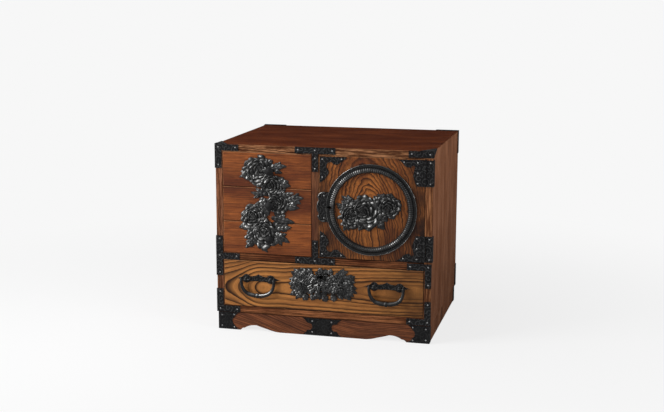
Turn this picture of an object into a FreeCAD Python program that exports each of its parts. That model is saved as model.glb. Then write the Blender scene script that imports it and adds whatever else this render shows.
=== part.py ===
import FreeCAD, Part
import math
import os
from FreeCAD import Vector

# Small tansu chest: a lacquered wooden case on a plinth, with three small drawers stacked
# on the left, a hinged door on the right, one wide drawer below, and iron fittings.
# Millimetres. +Z is up and the front faces -Y. The origin is on the floor, under the middle
# of the whole chest, with its knobs and rear irons included.

# ---- Case ----
case_width = 455.0
case_depth = 352.0
chest_height = 395.0
plinth_height = 37.5
side_board = 15.0
top_board = 15.0
bottom_board = 15.0
shelf_board = 15.0
divider_board = 14.0
back_board = 8.0
small_bay_width = 191.0
wide_bay_height = 99.5
upper_drawer_height = 72.5
board_rounding = 0.8

# ---- Plinth ----
plinth_board = 15.0
plinth_side_inset = 2.8
plinth_front_inset = 1.1
arch_from_end = 47.0
arch_length = 85.0
arch_peak_at = 36.0
arch_height = 12.0
arch_foot_cusp = 9.0

# ---- Drawers ----
drawer_front = 14.0
drawer_wall = 7.0
drawer_bottom = 5.0
drawer_edge_gap = 0.6
drawer_side_gap = 0.8
drawer_back_gap = 4.0
drawer_top_gap = 3.0
running_gap = 0.3
runner_height = 8.0
runner_width = 9.0
front_rounding = 1.0

# ---- Door ----
door_board = 15.0
door_proud = 0.3
door_edge_gap = 1.0
door_hinge_gap = 0.8
stop_width = 8.0
stop_depth = 10.0

# ---- Iron fittings on the case ----
iron = 1.2
bar_width = 13.5
divider_iron_width = 12.6
corner_reach = 50.0
tee_reach = 42.5
side_return = 12.0
top_flap_along = 26.0
top_flap_back = 40.0
side_flap_back = 36.0
rear_reach = 50.0
rear_side_return = 14.0
rear_top_return = 8.0
plinth_iron_width = 44.0
plinth_iron_waist = 15.0
plinth_iron_return = 15.0
centre_iron_half = 41.5
centre_iron_waist = 20.5
plinth_iron_inset = 0.6
nail_head = 1.6
nail_rise = 0.8
nail_shank = 0.7
nail_length = 5.5
nail_inset = 6.5

# ---- Hinges ----
leaf_height = 53.0
leaf_inset = 2.0
leaf_nail_inset = 5.5
leaf_reach = 20.5
leaf_bulge = 4.0
leaf_tongue = 57.0
leaf_tongue_drop = 15.0
hinge_return = 12.0
barrel = 2.2
barrel_clear = 0.2
pin = 1.1
pin_clear = 0.05
knuckle_gap = 0.3
pin_head_rise = 1.2

# ---- Ironwork on the door ----
door_iron_along = 57.0
door_iron_down = 53.0
ring_side_gap = 15.6
ring_end_gap = 10.0
ring_band = 17.5
ring_base = 1.6
ring_lip = 1.0
ring_lip_rise = 1.1
ring_tube_inset = 11.5
ring_tube = 5.2
ring_tube_rise = 3.2
ring_crown = 2.9
ring_drop = 2.0
lock_plate_reach = 4.5
lock_plate_half = 31.0
lock_plate_shoulder = 18.0
lock_plate_waist = 4.0
lock_plate_clear = 0.3
door_key_rise = 2.0
door_key_inset = 8.4

# ---- Locks ----
key_from_edge = 24.0
lock_case_length = 38.0
lock_case_width = 34.0
lock_wall = 2.5
bolt_thick = 3.5
bolt_width = 14.0
bolt_length = 26.0
bolt_throw = 6.0
bolt_clear = 0.15
bolt_inset = 0.3
mortise_clear = 1.0
keyhole = 2.2
keyhole_slot = 5.5

# ---- Knobs ----
knob_reach = 18.0
knob_cap = 9.0
knob_neck = 4.2
knob_rim = 2.6
knob_dome = 3.8
knob_foot = 5.7
knob_foot_rise = 2.4
knob_stem = 3.0
knob_stem_depth = 10.0
knob_from_middle = 9.0

# ---- Handles of the wide drawer ----
handle_from_side = 76.0
handle_height = 60.0
bail_side_gap = 1.4
bail_drop = 33.0
bail_wire = 2.7
bail_elbow = 3.4
bail_bead = 4.6
bail_collar = 3.7
bail_collar_width = 1.6
bail_collar_gap = 0.4
pivot_reach = 8.0
stud_from_middle = 26.5
stud_ball = 4.2
stud_neck = 2.4
stud_rose = 6.0
stud_rose_top = 3.2
stud_rose_rise = 1.6
stud_shank = 1.7
stud_depth = 9.0
eye = 1.7
eye_clear = 0.08
eye_end = 2.3
handle_plate_half = 48.5
handle_plate_lobe = 7.5
handle_plate_width = 12.0
handle_plate_crown = 5.0

# ---- Peony ironwork ----
leaf_rise = 2.6
petal_rise = 4.6
inner_petal_rise = 6.2
heart_rise = 7.4
peony_gap = 0.5
stack_peony_drop = 106.5
wide_peony_rise = 6.0
petal_taper = 0.72
leaf_belly = 0.45
heart_share = 0.34
inner_share = 0.62

# The two rings of petals in a blossom: (count, distance from the heart, size, rise, turn in
# radians). The distance and the size are shares of the blossom's radius.
petal_rings = [(8, 0.66, 0.34, petal_rise, 0.2), (5, 0.34, 0.27, inner_petal_rise, 0.6)]

# Each blossom is (along, up, radius) and each leaf is (root along, root up, tip along, tip up,
# width), counted from the point that the ironwork is placed by. The door's are drawn for a hoop of
# this inner radius, and grow or shrink with the real one.
door_peony_hoop = 76.0
stack_blossoms = [(-14, 72, 27), (8, 40, 23), (-12, -53, 35), (24, 6, 22)]
stack_leaves = [
    (-20, 66, -59, 54, 15), (-16, 80, -34, 97, 15), (4, 74, 43, 80, 17), (0, 82, 14, 91, 14),
    (20, 48, 51, 39, 20), (0, 22, -35, 24, 13), (40, 8, 79, 16, 17), (34, 2, 70, -5, 19),
    (0, -8, -27, -11, 16), (10, -28, 60, -36, 19), (16, -52, 53, -46, 15),
    (10, -62, 49, -79, 18), (-12, -78, 1, -102, 15), (-28, -72, -47, -95, 16),
    (-36, -44, -61, -52, 16), (-30, -34, -57, -32, 16), (-8, 0, 4, -24, 26),
]
door_blossoms = [(-8, -6, 31), (36, 8, 20), (-38, -12, 17)]
door_leaves = [
    (-40, -2, -73, 11, 18), (-40, -14, -72, -20, 15), (-40, -22, -57, -46, 15),
    (-30, 8, -62, 27, 17), (-18, 18, -30, 27, 14), (30, 18, 12, 34, 15), (38, 20, 40, 37, 18),
    (46, 14, 61, 22, 14), (42, -4, 46, -17, 16), (-6, -34, -4, -44, 20), (14, -26, 28, -38, 16),
]
wide_blossoms = [(-4, 2, 30), (36, 6, 23), (-40, 2, 18)]
wide_leaves = [
    (-44, 8, -70, 10, 17), (-44, -6, -69, -9, 15), (-38, -12, -56, -33, 16),
    (-40, 14, -60, 32, 16), (-20, 22, -32, 35, 16), (0, 26, -6, 37, 16), (18, 22, 20, 37, 15),
    (40, 22, 46, 35, 16), (50, 6, 71, 12, 15), (46, -6, 75, -12, 16), (36, -12, 45, -27, 16),
    (6, -24, 10, -34, 20), (-18, -22, -22, -33, 16),
]

# ---- Places worked out from the sizes ----
left = -case_width / 2
right = case_width / 2
front = (knob_reach - iron - nail_rise - case_depth) / 2
back = front + case_depth
inner_left = left + side_board
inner_right = right - side_board
under_top = chest_height - top_board
on_bottom = plinth_height + bottom_board
under_shelf = on_bottom + wide_bay_height
on_shelf = under_shelf + shelf_board
divider_left = inner_left + small_bay_width
divider_right = divider_left + divider_board
divider_mid = (divider_left + divider_right) / 2
back_inside = back - back_board
door_left = divider_right + door_edge_gap
door_right = inner_right - door_hinge_gap
door_low = on_shelf + door_edge_gap
door_high = under_top - door_edge_gap
door_face = front - door_proud
door_mid = (door_low + door_high) / 2
ring_outer = min(door_right - door_left - 2 * ring_side_gap, door_high - door_low - 2 * ring_end_gap) / 2
ring_x = door_left + ring_side_gap + ring_outer
ring_z = door_mid - ring_drop
ring_inner = ring_outer - ring_band
ring_tube_at = ring_outer - ring_tube_inset
hinge_x = inner_right - door_hinge_gap / 2
hinge_y = front - barrel - barrel_clear
stack_x = (inner_left + divider_left) / 2
stack_z = under_top - stack_peony_drop
knob_x = stack_x + knob_from_middle
wide_mid = (on_bottom + under_shelf) / 2
handle_z = on_bottom + handle_height
handle_places = (inner_left + handle_from_side, inner_right - handle_from_side)
bail_half = stud_from_middle + stud_ball + bail_side_gap + bail_elbow

# How far a cutter runs past a face that it opens.
over = 1.0


def box(x0, x1, y0, y1, z0, z1):
    """A block between two opposite corners."""
    return Part.makeBox(x1 - x0, y1 - y0, z1 - z0, Vector(x0, y0, z0))


def rounded_box(x0, x1, y0, y1, z0, z1, radius, keep):
    """A block whose edges picked by keep(middle of edge) are rounded."""
    solid = box(x0, x1, y0, y1, z0, z1)
    edges = [e for e in solid.Edges if keep(e.CenterOfMass)]
    return solid.makeFillet(radius, edges)


def front_face(start, *steps):
    """A flat outline in X and Z. A step is a corner (x, z) or an arc ((x, z) on it, (x, z) end)."""
    edges = []
    here = Vector(start[0], 0, start[1])
    for step in steps + (start,):
        if isinstance(step[0], tuple):
            through, end = (Vector(x, 0, z) for x, z in step)
            edges.append(Part.Arc(here, through, end).toShape())
        else:
            end = Vector(step[0], 0, step[1])
            if (end - here).Length < 1e-6:
                continue
            edges.append(Part.LineSegment(here, end).toShape())
        here = end
    return Part.Face(Part.Wire(edges))


def plate(face, seat, thickness):
    """An outline as a plate that lies on the plane y = seat and stands out to the front."""
    solid = face.extrude(Vector(0, -thickness, 0))
    solid.translate(Vector(0, seat, 0))
    return solid


def same(a, b):
    return abs(a - b) < 0.1


def rod(x, z, radius, y_back, y_front):
    """A round bar along Y."""
    return Part.makeCylinder(radius, y_back - y_front, Vector(x, y_back, z), Vector(0, -1, 0))


def mirror_x(shape, x=0.0):
    return shape.mirror(Vector(x, 0, 0), Vector(1, 0, 0))


def mirror_z(shape, z):
    return shape.mirror(Vector(0, 0, z), Vector(0, 0, 1))


def join(shapes):
    return shapes[0].multiFuse(shapes[1:]).removeSplitter()


def save(name, *solids):
    """Write one node: a single solid, or a group of separate solids."""
    shape = solids[0] if len(solids) == 1 else Part.makeCompound(list(solids))
    shape.exportStep("parts/" + name + ".step")


def nail(x, z, seat):
    """A nail through an iron plate: its domed head lies on the plane y = seat."""
    ball = (nail_head**2 + nail_rise**2) / (2 * nail_rise)
    dome = Part.makeSphere(ball, Vector(x, seat - nail_rise + ball, z))
    head = dome.common(rod(x, z, 2 * nail_head, seat, seat - nail_rise))
    return head.fuse(rod(x, z, nail_shank, seat + nail_length, seat)).removeSplitter()


def shank(x, z, seat):
    """The hole of a nail whose head lies on the plane y = seat."""
    return rod(x, z, nail_shank, seat + nail_length, seat - nail_rise)


def to_rear(shape):
    """A piece of the case's front carried to its back, facing backwards."""
    return shape.mirror(Vector(0, (front + back) / 2, 0), Vector(0, 1, 0))


def keyhole_cutter(x, z, y_back, y_front):
    """A round keyhole with a slot to its left."""
    slot = box(x - keyhole_slot, x, y_front, y_back, z - keyhole / 2, z + keyhole / 2)
    return rod(x, z, keyhole, y_back, y_front).fuse(slot)


# ---- Case boards ----
def case_boards(shelf_mortise, divider_mortise, shanks):
    middle = (on_bottom + under_top) / 2
    boards = {
        "top_panel": rounded_box(left, right, front, back, under_top, chest_height, board_rounding,
                                 lambda c: same(c.z, chest_height)),
        "bottom_panel": rounded_box(left, right, front, back, plinth_height, on_bottom, board_rounding,
                                    lambda c: same(c.z, plinth_height)),
        "left_side_panel": rounded_box(left, inner_left, front, back, on_bottom, under_top,
                                       board_rounding, lambda c: same(c.z, middle) and same(c.x, left)),
        "right_side_panel": rounded_box(inner_right, right, front, back, on_bottom, under_top,
                                        board_rounding, lambda c: same(c.z, middle) and same(c.x, right)),
        "middle_shelf": box(inner_left, inner_right, front, back_inside, under_shelf, on_shelf),
        "centre_divider": box(divider_left, divider_right, front, back_inside, on_shelf, under_top),
    }
    for name, board in boards.items():
        save(name, board.cut(shanks + [shelf_mortise, divider_mortise]))
    save("back_panel", box(inner_left, inner_right, back_inside, back, on_bottom, under_top))
    stop_y = door_face + door_board + running_gap
    save("door_stop", box(divider_right, divider_right + stop_width, stop_y,
                          stop_y + stop_depth, on_shelf, under_top))


# ---- Plinth ----
def arch_cutter():
    """The cusped arch at the left of the plinth's front board, from its outer foot inwards."""
    x0 = left + plinth_side_inset + arch_from_end
    cusp_x = x0 + arch_foot_cusp
    peak_x = x0 + arch_peak_at
    x1 = x0 + arch_length
    low = arch_height * 0.42
    fall = x1 - peak_x
    shape = front_face(
        (x0, -over), (x0, 0),
        ((x0 + arch_foot_cusp * 0.4, low * 0.75), (cusp_x, low)),
        ((cusp_x + (peak_x - cusp_x) * 0.45, arch_height * 0.88), (peak_x, arch_height)),
        ((peak_x + fall * 0.22, arch_height * 0.72), (peak_x + fall * 0.5, low)),
        ((peak_x + fall * 0.75, arch_height * 0.14), (x1, 0)),
        (x1, -over),
    )
    y_front = front + plinth_front_inset
    return plate(shape, y_front + plinth_board + over, plinth_board + 2 * over)


def plinth(shanks):
    x0, x1 = left + plinth_side_inset, right - plinth_side_inset
    y0, y1 = front + plinth_front_inset, back - plinth_front_inset
    arch = arch_cutter()
    board = box(x0, x1, y0, y0 + plinth_board, 0, plinth_height)
    save("plinth_front", board.cut([arch, mirror_x(arch)] + shanks))
    save("plinth_back", box(x0, x1, y1 - plinth_board, y1, 0, plinth_height).cut(shanks))
    side = box(x0, x0 + plinth_board, y0 + plinth_board, y1 - plinth_board, 0, plinth_height)
    save("plinth_sides", side, mirror_x(side))


# ---- Irons on the front of the case ----
def bar(x0, x1, z0, z1):
    return box(x0, x1, front - iron, front, z0, z1)


def left_wrap(z0, z1):
    """The part of an iron that turns round the case's left edge."""
    return box(left - iron, left, front - iron, front + side_return, z0, z1)


def top_flap():
    """The pointed flap of the left corner iron that lies on the case's top."""
    corners = [(left, front - iron), (left + top_flap_along, front - iron), (left, front + top_flap_back)]
    points = [Vector(x, y, chest_height) for x, y in corners]
    face = Part.Face(Part.makePolygon(points + points[:1]))
    return face.extrude(Vector(0, 0, iron))


def side_flap():
    """The pointed flap of the right corner iron that lies on the case's right side."""
    crest = chest_height + iron
    corners = [(front - iron, crest), (front - iron, chest_height - bar_width),
               (front + side_flap_back, chest_height), (front + side_flap_back, crest)]
    points = [Vector(right, y, z) for y, z in corners]
    face = Part.Face(Part.makePolygon(points + points[:1]))
    return face.extrude(Vector(iron, 0, 0))


def case_irons():
    """Write the front irons, and give the places of their nails."""
    t, s = chest_height, under_shelf + (shelf_board - bar_width) / 2
    leg = left + bar_width
    low = plinth_height + (bottom_board - bar_width) / 2
    tee0, tee1 = divider_mid - tee_reach, divider_mid + tee_reach
    stem0, stem1 = divider_mid - divider_iron_width / 2, divider_mid + divider_iron_width / 2
    mid_z = s + bar_width / 2
    n = nail_inset
    shapes = {
        "iron_top_left": [
            bar(left, left + corner_reach, t - bar_width, t), bar(left, leg, t - corner_reach, t),
            left_wrap(t - corner_reach, t + iron), top_flap()],
        "iron_top_centre": [bar(tee0, tee1, t - bar_width, t), bar(stem0, stem1, t - corner_reach, t)],
        "iron_top_right": [bar(right - corner_reach, right, t - bar_width, t),
                           mirror_x(top_flap()), side_flap()],
        "iron_middle_left": [bar(left, leg, mid_z - tee_reach, mid_z + tee_reach),
                             bar(left, left + corner_reach, s, s + bar_width),
                             left_wrap(mid_z - tee_reach, mid_z + tee_reach)],
        "iron_centre": [bar(tee0, tee1, s, s + bar_width), bar(stem0, stem1, s, s + corner_reach)],
        "iron_middle_right": [bar(right - corner_reach, right, s, s + bar_width),
                              bar(right - bar_width, right, s + bar_width - corner_reach, s)],
        "iron_bottom_left": [bar(left, left + corner_reach, low, low + bar_width),
                             bar(left, leg, low, low + corner_reach),
                             left_wrap(low, low + corner_reach)],
        "iron_bottom_right": [bar(right - corner_reach, right, low, low + bar_width),
                              bar(right - bar_width, right, low, low + corner_reach)],
    }
    nails = {
        "iron_top_left": [(left + n, t - n), (left + corner_reach - n, t - n),
                          (left + n, t - corner_reach + n)],
        "iron_top_centre": [(tee0 + n, t - n), (tee1 - n, t - n), (divider_mid, t - n),
                            (divider_mid, t - corner_reach + n), (divider_mid, t - corner_reach * 0.45)],
        "iron_top_right": [(right - n, t - n), (right - corner_reach + n, t - n)],
        "iron_middle_left": [(left + n, mid_z + tee_reach - n), (left + n, mid_z),
                             (left + n, mid_z - tee_reach + n), (left + corner_reach - n, mid_z)],
        "iron_centre": [(tee0 + n, mid_z), (tee1 - n, mid_z), (divider_mid, mid_z),
                        (divider_mid, s + corner_reach - n)],
        "iron_middle_right": [(right - n, mid_z), (right - corner_reach + n, mid_z),
                              (right - n, s + bar_width - corner_reach + n)],
        "iron_bottom_left": [(left + n, low + n), (left + corner_reach - n, low + n),
                             (left + n, low + corner_reach - n)],
        "iron_bottom_right": [(right - n, low + n), (right - corner_reach + n, low + n),
                              (right - n, low + corner_reach - n)],
    }
    for name, pieces in shapes.items():
        save(name, join(pieces).cut([shank(x, z, front - iron) for x, z in nails[name]]))
    return [(x, z, front - iron) for places in nails.values() for x, z in places]


def rear_irons():
    """Write the irons of the rear corners of case and plinth, and give the places of their nails.

    The places are those of nails in the front, which to_rear carries to the back.
    """
    t, b = chest_height, plinth_height
    corner = join([
        box(left, left + rear_reach, back, back + iron, t - bar_width, t),
        box(left, left + bar_width, back, back + iron, t - rear_reach, t),
        box(left - iron, left, back - rear_side_return, back + iron, t - rear_reach, t),
    ])
    lip = box(left - iron, left + rear_reach, back - rear_top_return, back + iron, t, t + iron)
    bottom = mirror_z(corner, (t + b) / 2)
    x0, y1 = left + plinth_side_inset, back - plinth_front_inset
    low, high = plinth_iron_inset, b - plinth_iron_inset
    plinth_corner = join([
        box(x0, x0 + plinth_iron_width, y1, y1 + iron, low, high),
        box(x0 - iron, x0, y1 - plinth_iron_return, y1 + iron, low, high),
    ])
    n, r = nail_inset, rear_reach - nail_inset
    corners = [(left + n, t - n), (left + r, t - n), (left + n, t - r),
               (left + n, b + n), (left + r, b + n), (left + n, b + r)]
    plinth_places = [(x0 + n, low + n), (x0 + plinth_iron_width - n, high - n)]
    places = [(x, z, front - iron) for x, z in corners]
    places += [(x, z, front + plinth_front_inset - iron) for x, z in plinth_places]
    holes = [to_rear(shank(*place)) for place in places]
    pieces = [p.cut(holes) for p in (corner.fuse(lip).removeSplitter(), bottom, plinth_corner)]
    save("rear_irons", *pieces, *[mirror_x(p) for p in pieces])
    return places + [(-x, z, seat) for x, z, seat in places]


def plinth_irons():
    """Write the plinth's front irons, and give the places of their nails."""
    seat = front + plinth_front_inset
    x0 = left + plinth_side_inset
    low, high = plinth_iron_inset, plinth_height - plinth_iron_inset
    rise, n = high - low, nail_inset
    x1, waist = x0 + plinth_iron_width, x0 + plinth_iron_width - plinth_iron_waist
    cusp, shoulder = x1 - plinth_iron_waist * 0.7, x1 - plinth_iron_waist * 0.5
    corner = front_face(
        (x0, low), (x1, low),
        ((shoulder, low + rise * 0.15), (cusp, low + rise * 0.27)),
        ((waist, low + rise * 0.5), (cusp, low + rise * 0.73)),
        ((shoulder, low + rise * 0.85), (x1, high)),
        (x0, high),
    )
    wrap = box(x0 - iron, x0, seat - iron, seat + plinth_iron_return, low, high)
    corner_iron = plate(corner, seat, iron).fuse(wrap).removeSplitter()
    half, narrow = centre_iron_half, centre_iron_waist
    cusp = narrow + (half - narrow) * 0.5
    shoulder = narrow + (half - narrow) * 0.64
    centre_iron = plate(front_face(
        (-half, low), (half, low),
        ((shoulder, low + rise * 0.18), (cusp, low + rise * 0.3)),
        ((narrow, low + rise * 0.5), (cusp, low + rise * 0.7)),
        ((shoulder, low + rise * 0.82), (half, high)),
        (-half, high),
        ((-shoulder, low + rise * 0.82), (-cusp, low + rise * 0.7)),
        ((-narrow, low + rise * 0.5), (-cusp, low + rise * 0.3)),
        ((-shoulder, low + rise * 0.18), (-half, low)),
    ), seat, iron)
    low_nail, high_nail = low + n, high - n
    outer, inner = x0 + n, x1 - 1.6 * n
    corner_nails = [(outer, low_nail), (outer, high_nail), (inner, low + n * 0.7), (inner, high - n * 0.7)]
    centre_nails = [(side * narrow, z) for side in (-1, 1) for z in (low_nail, high_nail)]
    left_iron = corner_iron.cut([shank(x, z, seat - iron) for x, z in corner_nails])
    save("plinth_corner_irons", left_iron, mirror_x(left_iron))
    save("plinth_centre_iron", centre_iron.cut([shank(x, z, seat - iron) for x, z in centre_nails]))
    places = corner_nails + [(-x, z) for x, z in corner_nails] + centre_nails
    return [(x, z, seat - iron) for x, z in places]


# ---- Peony ironwork ----
def leaf_prism(x0, z0, x1, z1, width, rise):
    """A pointed leaf between its root and its tip."""
    along = Vector(x1 - x0, 0, z1 - z0)
    across = Vector(-along.z, 0, along.x).normalize() * (width / 2)
    root, tip = Vector(x0, 0, z0), Vector(x1, 0, z1)
    middle = root + along * leaf_belly
    edges = [Part.Arc(root, middle + across, tip).toShape(), Part.Arc(tip, middle - across, root).toShape()]
    return Part.Face(Part.Wire(edges)).extrude(Vector(0, -rise, 0))


def petal_cone(x, z, radius, rise):
    return Part.makeCone(radius, radius * petal_taper, rise, Vector(x, 0, z), Vector(0, -1, 0))


def blossom(x, z, radius):
    """A heart inside two rings of petals."""
    shapes = [petal_cone(x, z, radius * heart_share, heart_rise),
              petal_cone(x, z, radius * inner_share, petal_rise)]
    for count, reach, size, rise, turn in petal_rings:
        for k in range(count):
            a = turn + 2 * math.pi * k / count
            shapes.append(petal_cone(x + radius * reach * math.cos(a), z + radius * reach * math.sin(a),
                                     radius * size, rise))
    return shapes


def peony(x, z, seat, blossoms, leaves, size=1.0):
    """Raised peony ironwork, placed by the point (x, z) on the plane y = seat."""
    shapes = []
    for flower in blossoms:
        shapes += blossom(*[size * value for value in flower])
    for leaf in leaves:
        shapes.append(leaf_prism(*[size * value for value in leaf], leaf_rise))
    solid = join(shapes)
    solid.translate(Vector(x, seat, z))
    return solid


# ---- Drawers ----
def drawer_box(name, x0, x1, z0, z1, lift):
    """The walls and bottom of a drawer behind its front. lift is the height of its runners."""
    y0, y1 = front + drawer_front, back_inside - drawer_back_gap
    low, high = z0 + lift + running_gap, z1 - drawer_top_gap
    a, b = x0 + drawer_side_gap, x1 - drawer_side_gap
    walls = [
        box(a, a + drawer_wall, y0, y1, low, high),
        box(b - drawer_wall, b, y0, y1, low, high),
        box(a + drawer_wall, b - drawer_wall, y1 - drawer_wall, y1, low, high),
    ]
    save(name + "_walls", *walls)
    save(name + "_bottom", box(a + drawer_wall, b - drawer_wall, y0, y1 - drawer_wall,
                               low, low + drawer_bottom))


def drawer_board(x0, x1, z0, z1):
    """A drawer's front board, with its outer edges eased."""
    return rounded_box(x0 + drawer_side_gap, x1 - drawer_side_gap, front, front + drawer_front,
                       z0 + drawer_edge_gap, z1 - drawer_edge_gap, front_rounding,
                       lambda c: c.y < front + 0.1)


def knob(z):
    """A turned mushroom knob. Its stem is driven into the drawer's front."""
    brim, under = knob_reach - knob_dome, knob_reach - knob_dome - knob_rim
    ball = (knob_cap**2 + knob_dome**2) / (2 * knob_dome)
    dome = Part.makeSphere(ball, Vector(knob_x, front - knob_reach + ball, z))
    facing = Vector(0, -1, 0)
    return join([
        dome.common(rod(knob_x, z, 2 * knob_cap, front - brim, front - knob_reach)),
        rod(knob_x, z, knob_cap, front - under - knob_rim / 2, front - brim),
        Part.makeCone(knob_neck, knob_cap, knob_rim / 2, Vector(knob_x, front - under, z), facing),
        rod(knob_x, z, knob_neck, front - knob_foot_rise, front - under),
        Part.makeCone(knob_foot, knob_neck, knob_foot_rise, Vector(knob_x, front, z), facing),
        rod(knob_x, z, knob_stem, front + knob_stem_depth, front),
    ])


def small_drawers():
    ironwork = peony(stack_x, stack_z, front, stack_blossoms, stack_leaves)
    high = under_top
    for k in range(3):
        name = "small_drawer_%d" % (k + 1)
        low = on_shelf if k == 2 else high - upper_drawer_height
        lift = 0 if k == 2 else runner_height
        z = (low + high) / 2
        stem = rod(knob_x, z, knob_stem, front + knob_stem_depth, front)
        base = rod(knob_x, z, knob_foot, front, front - knob_reach)
        save(name + "_front", drawer_board(inner_left, divider_left, low, high).cut(stem))
        drawer_box(name, inner_left, divider_left, low, high, lift)
        slab = box(inner_left, divider_left, front - 2 * heart_rise, front,
                   low + drawer_edge_gap + peony_gap, high - drawer_edge_gap - peony_gap)
        save(name + "_peony", *ironwork.common(slab).cut(base).Solids)
        save(name + "_knob", knob(z))
        high = low


def drawer_runners():
    """Strips on the side panel and the divider that carry the two upper small drawers."""
    y0 = front + drawer_front + running_gap
    strips = []
    for k in (1, 2):
        z = under_top - k * upper_drawer_height
        strips.append(box(inner_left, inner_left + runner_width, y0, back_inside, z, z + runner_height))
        strips.append(box(divider_left - runner_width, divider_left, y0, back_inside, z, z + runner_height))
    save("drawer_runners", *strips)


# ---- Locks ----
def lock(key_at):
    """A lock case and its bolt, lying along +X: the bolt leaves at x = 0. y = 0 is its front."""
    depth = 2 * lock_wall + bolt_thick
    w = bolt_width / 2
    case = box(-lock_case_length, 0, 0, depth, -lock_case_width / 2, lock_case_width / 2)
    slot = box(-bolt_length - 2 * bolt_inset - bolt_clear, over, lock_wall - bolt_clear,
               lock_wall + bolt_thick + bolt_clear, -w - bolt_clear, w + bolt_clear)
    bolt = box(-bolt_length - bolt_inset, -bolt_inset, lock_wall, lock_wall + bolt_thick, -w, w)
    way = box(-over, bolt_throw + mortise_clear, lock_wall - mortise_clear,
              lock_wall + bolt_thick + mortise_clear, -w - mortise_clear, w + mortise_clear)
    keyway = rod(-key_at, 0, keyhole, lock_wall, -over)
    return case.cut([slot, keyway]), bolt, way


def place(shape, turn, x, y, z):
    """Turn a lock piece about Y, in degrees, and set it down."""
    copy = shape.copy()
    copy.rotate(Vector(0, 0, 0), Vector(0, 1, 0), turn)
    copy.translate(Vector(x, y, z))
    return copy


# ---- Hinges ----
def knuckles(low, high):
    """The stretches of a hinge's barrel: the outer two are the case's, the middle one the door's."""
    third = (high - low - 2 * knuckle_gap) / 3
    starts = [low + k * (third + knuckle_gap) for k in range(3)]
    return [(z, z + third) for z in starts]


def barrel_piece(z0, z1):
    tube = Part.makeCylinder(barrel, z1 - z0, Vector(hinge_x, hinge_y, z0))
    return tube.cut(Part.makeCylinder(pin + pin_clear, z1 - z0, Vector(hinge_x, hinge_y, z0)))


def hinge_nails():
    """The nails of the upper hinge: those of the door's leaf and those of the case's."""
    high = door_high - leaf_inset
    low = high - leaf_height
    x, n = door_right - leaf_reach + leaf_nail_inset, leaf_nail_inset
    door_side = [(x, low + n), (x, (low + high) / 2), (x, high - n),
                 (door_right - leaf_tongue * 0.75, high - leaf_tongue_drop * 0.35)]
    return door_side, [(right - n, low + n), (right - n, high - n)]


def hinge():
    """The upper hinge: leaf on the door, leaf on the case, and pin."""
    high = door_high - leaf_inset
    low = high - leaf_height
    parts = knuckles(low, high)
    near = barrel + knuckle_gap
    x, h = door_right - leaf_reach, leaf_height
    tongue, drop, bulge = leaf_tongue - leaf_reach, leaf_tongue_drop, leaf_bulge
    outline = front_face(
        (hinge_x, low), (x + bulge, low),
        ((x - bulge * 0.2, low + h * 0.2), (x - bulge, low + h * 0.38)),
        ((x - bulge * 0.6, low + h * 0.55), (x, high - drop)),
        ((x - tongue * 0.1, high - drop * 0.76), (x - tongue * 0.22, high - drop)),
        ((x - tongue * 0.44, high - drop), (x - tongue * 0.65, high - drop * 0.6)),
        ((x - tongue * 0.8, high - drop * 0.27), (x - tongue, high)),
        (hinge_x, high),
    )
    bore = Part.makeCylinder(pin + pin_clear, h, Vector(hinge_x, hinge_y, low))
    door_holes, case_holes = ([shank(a, z, seat - iron) for a, z in places]
                              for places, seat in zip(hinge_nails(), (door_face, front)))
    notches = [box(hinge_x - near, hinge_x + near, hinge_y - near, front + over,
                   z0 - knuckle_gap, z1 + knuckle_gap) for z0, z1 in parts]
    far_side = box(hinge_x, hinge_x + near, hinge_y - near, front + over, low - over, high + over)
    door_leaf = plate(outline, door_face, iron).cut([notches[0], notches[2], far_side, bore] + door_holes)
    door_leaf = door_leaf.fuse(barrel_piece(*parts[1])).removeSplitter()
    flat = box(hinge_x, right, front - iron, front, low, high)
    wrap = box(right, right + iron, front - iron, front + hinge_return, low, high)
    case_leaf = join([flat, wrap]).cut([notches[1], bore] + case_holes)
    ends = [barrel_piece(*parts[0]), barrel_piece(*parts[2])]
    case_leaf = case_leaf.multiFuse(ends).removeSplitter()
    shaft = Part.makeCylinder(pin, h, Vector(hinge_x, hinge_y, low))
    cap = Part.makeCone(barrel, barrel * 0.5, pin_head_rise, Vector(hinge_x, hinge_y, high))
    return door_leaf, case_leaf, shaft.fuse(cap).removeSplitter()


# ---- Door ----
def door_corner_iron():
    """The leaf-shaped iron at the door's upper left corner."""
    x, z = door_left + leaf_inset, door_high - leaf_inset
    w, h = door_iron_along, door_iron_down
    shape = front_face(
        (x, z), (x, z - h),
        ((x + w * 0.14, z - h * 0.92), (x + w * 0.26, z - h * 0.75)),
        ((x + w * 0.33, z - h * 0.58), (x + w * 0.25, z - h * 0.43)),
        ((x + w * 0.28, z - h * 0.25), (x + w * 0.44, z - h * 0.21)),
        ((x + w * 0.61, z - h * 0.3), (x + w * 0.75, z - h * 0.21)),
        ((x + w * 0.86, z - h * 0.13), (x + w, z)),
    )
    return plate(shape, door_face, iron)


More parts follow.
